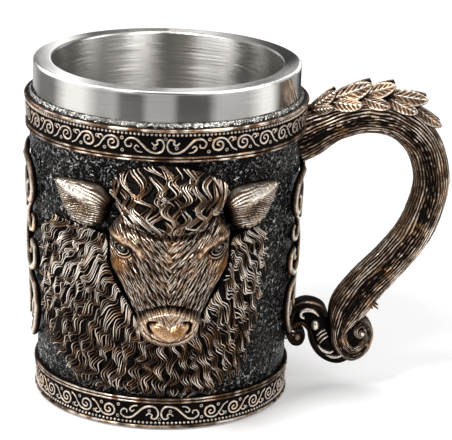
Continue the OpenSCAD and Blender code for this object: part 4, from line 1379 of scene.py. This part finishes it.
# %% Draw the bracket's ribbons
# Middle line of each ribbon in x and z, then half the thickness and half the depth
EDGED_RIBBONS = [
    [(53.0, 25.0, 0.7, 4.0), (51.7, 27.2, 1.0, 4.1), (49.4, 28.5, 1.15, 4.2), (46.2, 28.9, 1.2, 4.2),
     (43.4, 27.7, 1.2, 4.1), (42.0, 25.2, 1.0, 4.0), (41.8, 22.4, 0.8, 3.9)],
    [(47.0, 20.8, 0.5, 4.3), (45.4, 22.5, 0.75, 4.4), (43.2, 22.1, 0.85, 4.5), (41.6, 20.2, 0.9, 4.5),
     (41.4, 17.6, 0.95, 4.5), (42.8, 15.7, 1.0, 4.4), (44.8, 15.8, 0.95, 4.4), (45.7, 17.6, 0.9, 4.3),
     (45.0, 19.4, 0.75, 4.3), (43.6, 19.5, 0.6, 4.2)],
    [(46.6, 21.8, 0.5, 4.3), (47.9, 19.6, 0.8, 4.5), (48.8, 16.2, 1.0, 4.6), (50.9, 12.9, 1.1, 4.6),
     (54.2, 10.6, 1.15, 4.6), (57.6, 9.9, 1.0, 4.5), (60.2, 10.6, 0.5, 4.4)]]
BRIGHT_RIBBONS = [
    [(45.9, 24.6, 0.55, 4.7), (44.8, 25.2, 0.8, 4.9), (44.9, 26.7, 1.0, 5.0), (46.6, 27.4, 1.05, 5.0),
     (48.8, 27.0, 0.9, 4.9), (50.6, 25.4, 0.35, 4.6)],
    [(50.2, 18.7, 0.3, 4.7), (51.2, 20.0, 0.5, 4.9), (52.8, 20.9, 0.3, 4.7)],
    [(50.4, 17.2, 0.3, 4.7), (51.6, 18.8, 0.55, 4.9), (53.4, 19.9, 0.3, 4.7)],
    [(51.2, 16.2, 0.3, 4.7), (52.2, 17.6, 0.55, 4.9), (53.8, 18.7, 0.3, 4.7)],
    [(50.6, 15.5, 0.35, 4.7), (52.2, 13.8, 0.8, 5.0), (54.3, 13.0, 0.75, 5.0), (55.8, 13.6, 0.3, 4.8)],
    [(53.4, 12.2, 0.35, 4.7), (55.4, 11.5, 0.8, 5.0), (57.4, 11.6, 0.7, 5.0), (58.8, 12.4, 0.3, 4.8)]]
print(len(EDGED_RIBBONS), "edged and", len(BRIGHT_RIBBONS), "bright ribbons")

# %% Build the bracket
WEB_OUTLINE = np.array([
    (42.0, 22.6), (42.4, 25.6), (44.0, 28.0), (46.6, 28.8), (49.6, 28.2), (52.4, 26.0), (54.6, 21.6),
    (56.4, 15.6), (59.4, 11.2), (57, 10.2), (53.8, 11.0), (50.8, 13.4), (48.9, 16.8), (47.9, 20.0),
    (46.4, 22.0), (44.6, 22.6)])
WEB_HALF, RIBBON_SIDES, RIBBON_POWER = 3.6, 32, 0.7
# Name, middle, radii and shine of the beads on the near side
BRACKET_BEADS = [("bracket_bead", (49.5, 4.1, 22.3), (1.35, 1.5, 1.8), 0.85),
                 ("volute_bead", (43.8, 4.0, 18.0), (1.15, 1.2, 1.15), 0.6)]


def ribbon(name, rows, edged):
    line = curve_points(rows, 14 * len(rows))
    turn = full_turn(RIBBON_SIDES)
    points = swept_points(line, turn, 0, RIBBON_POWER)
    front = np.abs(np.sin(turn))
    mark = 0.06 + 0.7 * bump((front - 0.72) / 0.16) if edged else 0.15 + 0.7 * smooth(0.2, 0.7, front)
    crest = np.broadcast_to(mark, points.shape[:2]).ravel()
    return mesh_object(name, points.reshape(-1, 3), tube_faces(*points.shape[:2]), bronze, crest=crest)


pieces = [ribbon(f"edged_ribbon_{k}", rows, True) for k, rows in enumerate(EDGED_RIBBONS)]
pieces += [ribbon(f"bright_ribbon_{k}", rows, False) for k, rows in enumerate(BRIGHT_RIBBONS)]
n = len(WEB_OUTLINE)
sheets = [stacked(WEB_OUTLINE[:, 0], y, WEB_OUTLINE[:, 1]) for y in (-WEB_HALF, WEB_HALF)]
faces = [list(range(n)), list(range(2 * n - 1, n - 1, -1))]
faces += [[k, (k + 1) % n, n + (k + 1) % n, n + k] for k in range(n)]
pieces.append(mesh_object("bracket_web", np.concatenate(sheets), faces, bronze, crest=np.zeros(2 * n)))
for side in (-1, 1):
    for name, (x, y, z), radii, shine in BRACKET_BEADS:
        pieces.append(ball(name, (x, side * y, z), radii, shine))
finish_piece(joined("scroll_bracket", pieces), "handle_bracket")

# %% [markdown]
# ## Studio
# The photo is a product shot on white: soft light from the upper left, a pale floor that fades to white
# and a light shadow on the right. Brushed steel only looks like steel when it has something to reflect,
# so pale and dark cards stand round the object in three rings: a near one for the collar, one further
# off for the bronze, and a small one over the mouth for the inside of the cup. Only reflections see them.


# %% Floor
def plain_mesh(name, verts, faces, finish):
    mesh = bpy.data.meshes.new(name)
    mesh.from_pydata(verts, [], faces)
    mesh.materials.append(finish)
    return new_object(name, mesh)


def looked_at(tree, level_lit, level_seen):
    rays = add(tree, "ShaderNodeLightPath").outputs
    mirrored = add(tree, "ShaderNodeMath", {0: rays["Is Glossy Ray"], 1: rays["Is Transmission Ray"]},
                   operation="MAXIMUM")
    shown = add(tree, "ShaderNodeMath", {0: rays["Is Camera Ray"], 1: mirrored}, operation="MAXIMUM")
    return add(tree, "ShaderNodeMapRange", {"Value": shown, "To Min": level_lit, "To Max": level_seen})


# White paper sweep, in metres: darker near the object, and plain white from FADE_TO outwards
FLOOR_HALF, FLOOR_PAPER, FADE_FROM, FADE_TO, FLOOR_DIM = 3, "#f0f0f0", 0.35, 0.9, 0.3
white_floor, tree = new_material("white_studio_floor")
matt = add(tree, "ShaderNodeBsdfDiffuse", {"Color": colour(FLOOR_PAPER)})
place = add(tree, "ShaderNodeTexCoord").outputs["Object"]
away = add(tree, "ShaderNodeVectorMath", {0: place}, operation="LENGTH").outputs["Value"]
fade = add(tree, "ShaderNodeMapRange",
           {"Value": away, "From Min": FADE_FROM, "From Max": FADE_TO, "To Min": FLOOR_DIM})
level = add(tree, "ShaderNodeMath", {0: looked_at(tree, 0.0, 1.0), 1: fade}, operation="MULTIPLY")
glow = add(tree, "ShaderNodeEmission", {"Color": (1, 1, 1, 1), "Strength": level})
both = add(tree, "ShaderNodeAddShader", {0: matt, 1: glow})
add(tree, "ShaderNodeOutputMaterial", {"Surface": both})
corners = [(FLOOR_HALF * x, FLOOR_HALF * y, 0) for x, y in ((-1, -1), (1, -1), (1, 1), (-1, 1))]
floor = plain_mesh("floor", corners, [(0, 1, 2, 3)], white_floor)
print("floor of", 2 * FLOOR_HALF, "m")

# %% Reflection cards
# Cards round the object: first and last bearing in degrees, from the front towards the handle, and
# brightness. Between two cards the light fades evenly from one to the next.
COLLAR_CARDS = [(-180, -146, 0.65), (-128, -105, 0.27), (-88, -71, 1.62), (-55, -42, 0.6), (-35, -20, 0.07),
                (-14, 4, 0.55), (10, 32, 0.04), (41, 68, 0.7), (84, 93, 1.64), (106, 125, 0.16),
                (130, 132, 0.6), (148, 156, 0.06), (180, 180, 0.5)]
# Cards further off and higher light the bronze from the left and leave its right sides dark
FAR_CARDS = [(-180, -105, 0.2), (-85, -20, 1.5), (0, 60, 0.25), (85, 120, 0.6), (145, 180, 0.2)]
# Cards over the mouth, by where the inside wall shows them, in degrees from the back
INSIDE_CARDS = [(-66, -66, 1.0), (-56, -49, 0.05), (-44, -38, 4.6), (-35.5, -24, 1.0), (-17, -13.5, 9.4),
                (-4, 12.5, 0.1), (28, 33.5, 8.5), (41, 50, 0.3), (54.5, 55.5, 2.2), (59, 65, 0.15)]
# Radii of the cup's mouth and of the ring of cards over it, in metres
MOUTH_R, MOUTH_CARD_R = 0.0362, 0.055
CARD_MAX, CARD_SEGMENTS = 10.0, 96


def card_bearing(seen):
    b = math.radians(seen)
    x, y, dx, dy = MOUTH_R * math.sin(b), MOUTH_R * math.cos(b), -math.sin(2 * b), -math.cos(2 * b)
    along = -(x * dx + y * dy) + math.sqrt((x * dx + y * dy) ** 2 + MOUTH_CARD_R ** 2 - MOUTH_R ** 2)
    return math.degrees(math.atan2(x + along * dx, -(y + along * dy)))


def card_ring(name, cards, radius, low, high):
    paint, tree = new_material(name + "_paint")
    place = add(tree, "ShaderNodeTexCoord").outputs["Object"]
    xyz = add(tree, "ShaderNodeSeparateXYZ", {"Vector": place}).outputs
    frontward = add(tree, "ShaderNodeMath", {0: xyz["Y"], 1: -1.0}, operation="MULTIPLY")
    bearing = add(tree, "ShaderNodeMath", {0: xyz["X"], 1: frontward}, operation="ARCTAN2")
    share = add(tree, "ShaderNodeMath", {0: bearing, 1: 1 / (2 * math.pi), 2: 0.5}, operation="MULTIPLY_ADD")
    edges = sorted((degrees, level / CARD_MAX) for first, last, level in cards for degrees in {first, last})
    bands = add(tree, "ShaderNodeValToRGB", {"Fac": share})
    set_stops(bands, [((degrees + 180) / 360, (grey, grey, grey, 1)) for degrees, grey in edges])
    glow = add(tree, "ShaderNodeEmission", {"Color": bands, "Strength": CARD_MAX})
    add(tree, "ShaderNodeOutputMaterial", {"Surface": glow})
    n, angles = CARD_SEGMENTS, full_turn(CARD_SEGMENTS)
    verts = [(radius * math.cos(a), radius * math.sin(a), h) for h in (low, high) for a in angles]
    ring = plain_mesh(name, verts, [(k, (k + 1) % n, n + (k + 1) % n, n + k) for k in range(n)], paint)
    ring.visible_camera = ring.visible_diffuse = ring.visible_shadow = ring.visible_transmission = False
    print(name, "with", len(cards), "cards")


mouth_cards = [(card_bearing(first), card_bearing(last), level) for first, last, level in INSIDE_CARDS]
card_ring("collar_cards", COLLAR_CARDS, radius=0.27, low=0.0, high=0.12)
card_ring("far_cards", FAR_CARDS, radius=1.4, low=0.15, high=1.7)
card_ring("mouth_cards", mouth_cards, radius=MOUTH_CARD_R, low=0.111, high=0.19)

# %% Lamps and sky
# Softboxes: place and side in metres, and power in watts. All aim at the middle of the object.
LAMPS = {"key_softbox": ((-0.5, -0.5, 0.85), 0.3, 9.0), "fill_softbox": ((0.6, -0.5, 0.6), 0.4, 1.8),
         "top_softbox": ((0.0, 0.2, 0.95), 0.5, 4.0)}
AIM = Vector((0, 0, 0.05))
for name, (place, width, watts) in LAMPS.items():
    data = bpy.data.lights.new(name, "AREA")
    data.shape, data.size, data.size_y, data.energy = "RECTANGLE", width, width, watts
    ob = new_object(name, data)
    ob.location = place
    ob.rotation_euler = (AIM - Vector(place)).to_track_quat("-Z", "Y").to_euler()

world = bpy.data.worlds.new("white_room")
bpy.context.scene.world = world
world.use_nodes = True
world.node_tree.nodes.clear()
tree = world.node_tree
sky = add(tree, "ShaderNodeBackground", {"Color": (1, 1, 1, 1), "Strength": looked_at(tree, 0.25, 1.0)})
add(tree, "ShaderNodeOutputWorld", {"Surface": sky})
print("lamps", sorted(LAMPS))

# %% [markdown]
# ## Camera
# The viewpoint is worked out from the drum's own ellipses in the photo: about 18 degrees above the
# table, 0.74 m away with a long lens, and rolled a little, as a hand-held frame is.

# %% Camera
FOCAL_PX, IMAGE_W = 2301.6, 452
CAM_PLACE, PITCH, YAW, ROLL = Vector((0, -0.700, 0.2821)), 17.9, 1.62, 1.79
p, w, r = (math.radians(v) for v in (PITCH, YAW, ROLL))
ahead = Vector((math.sin(w) * math.cos(p), math.cos(w) * math.cos(p), -math.sin(p)))
level_right = Vector((math.cos(w), -math.sin(w), 0))
level_up = level_right.cross(ahead)
right = math.cos(r) * level_right + math.sin(r) * level_up
upward = math.cos(r) * level_up - math.sin(r) * level_right
lens = bpy.data.cameras.new("camera")
lens.sensor_fit, lens.sensor_width = "HORIZONTAL", 36.0
lens.lens = FOCAL_PX / IMAGE_W * lens.sensor_width
lens.clip_start, lens.clip_end = 0.05, 20
camera = new_object("camera", lens)
camera.matrix_world = Matrix.Translation(CAM_PLACE) @ Matrix((right, upward, -ahead)).transposed().to_4x4()
bpy.context.scene.camera = camera
bpy.context.scene.view_settings.view_transform = "Standard"
print("lens", round(lens.lens, 1), "mm")
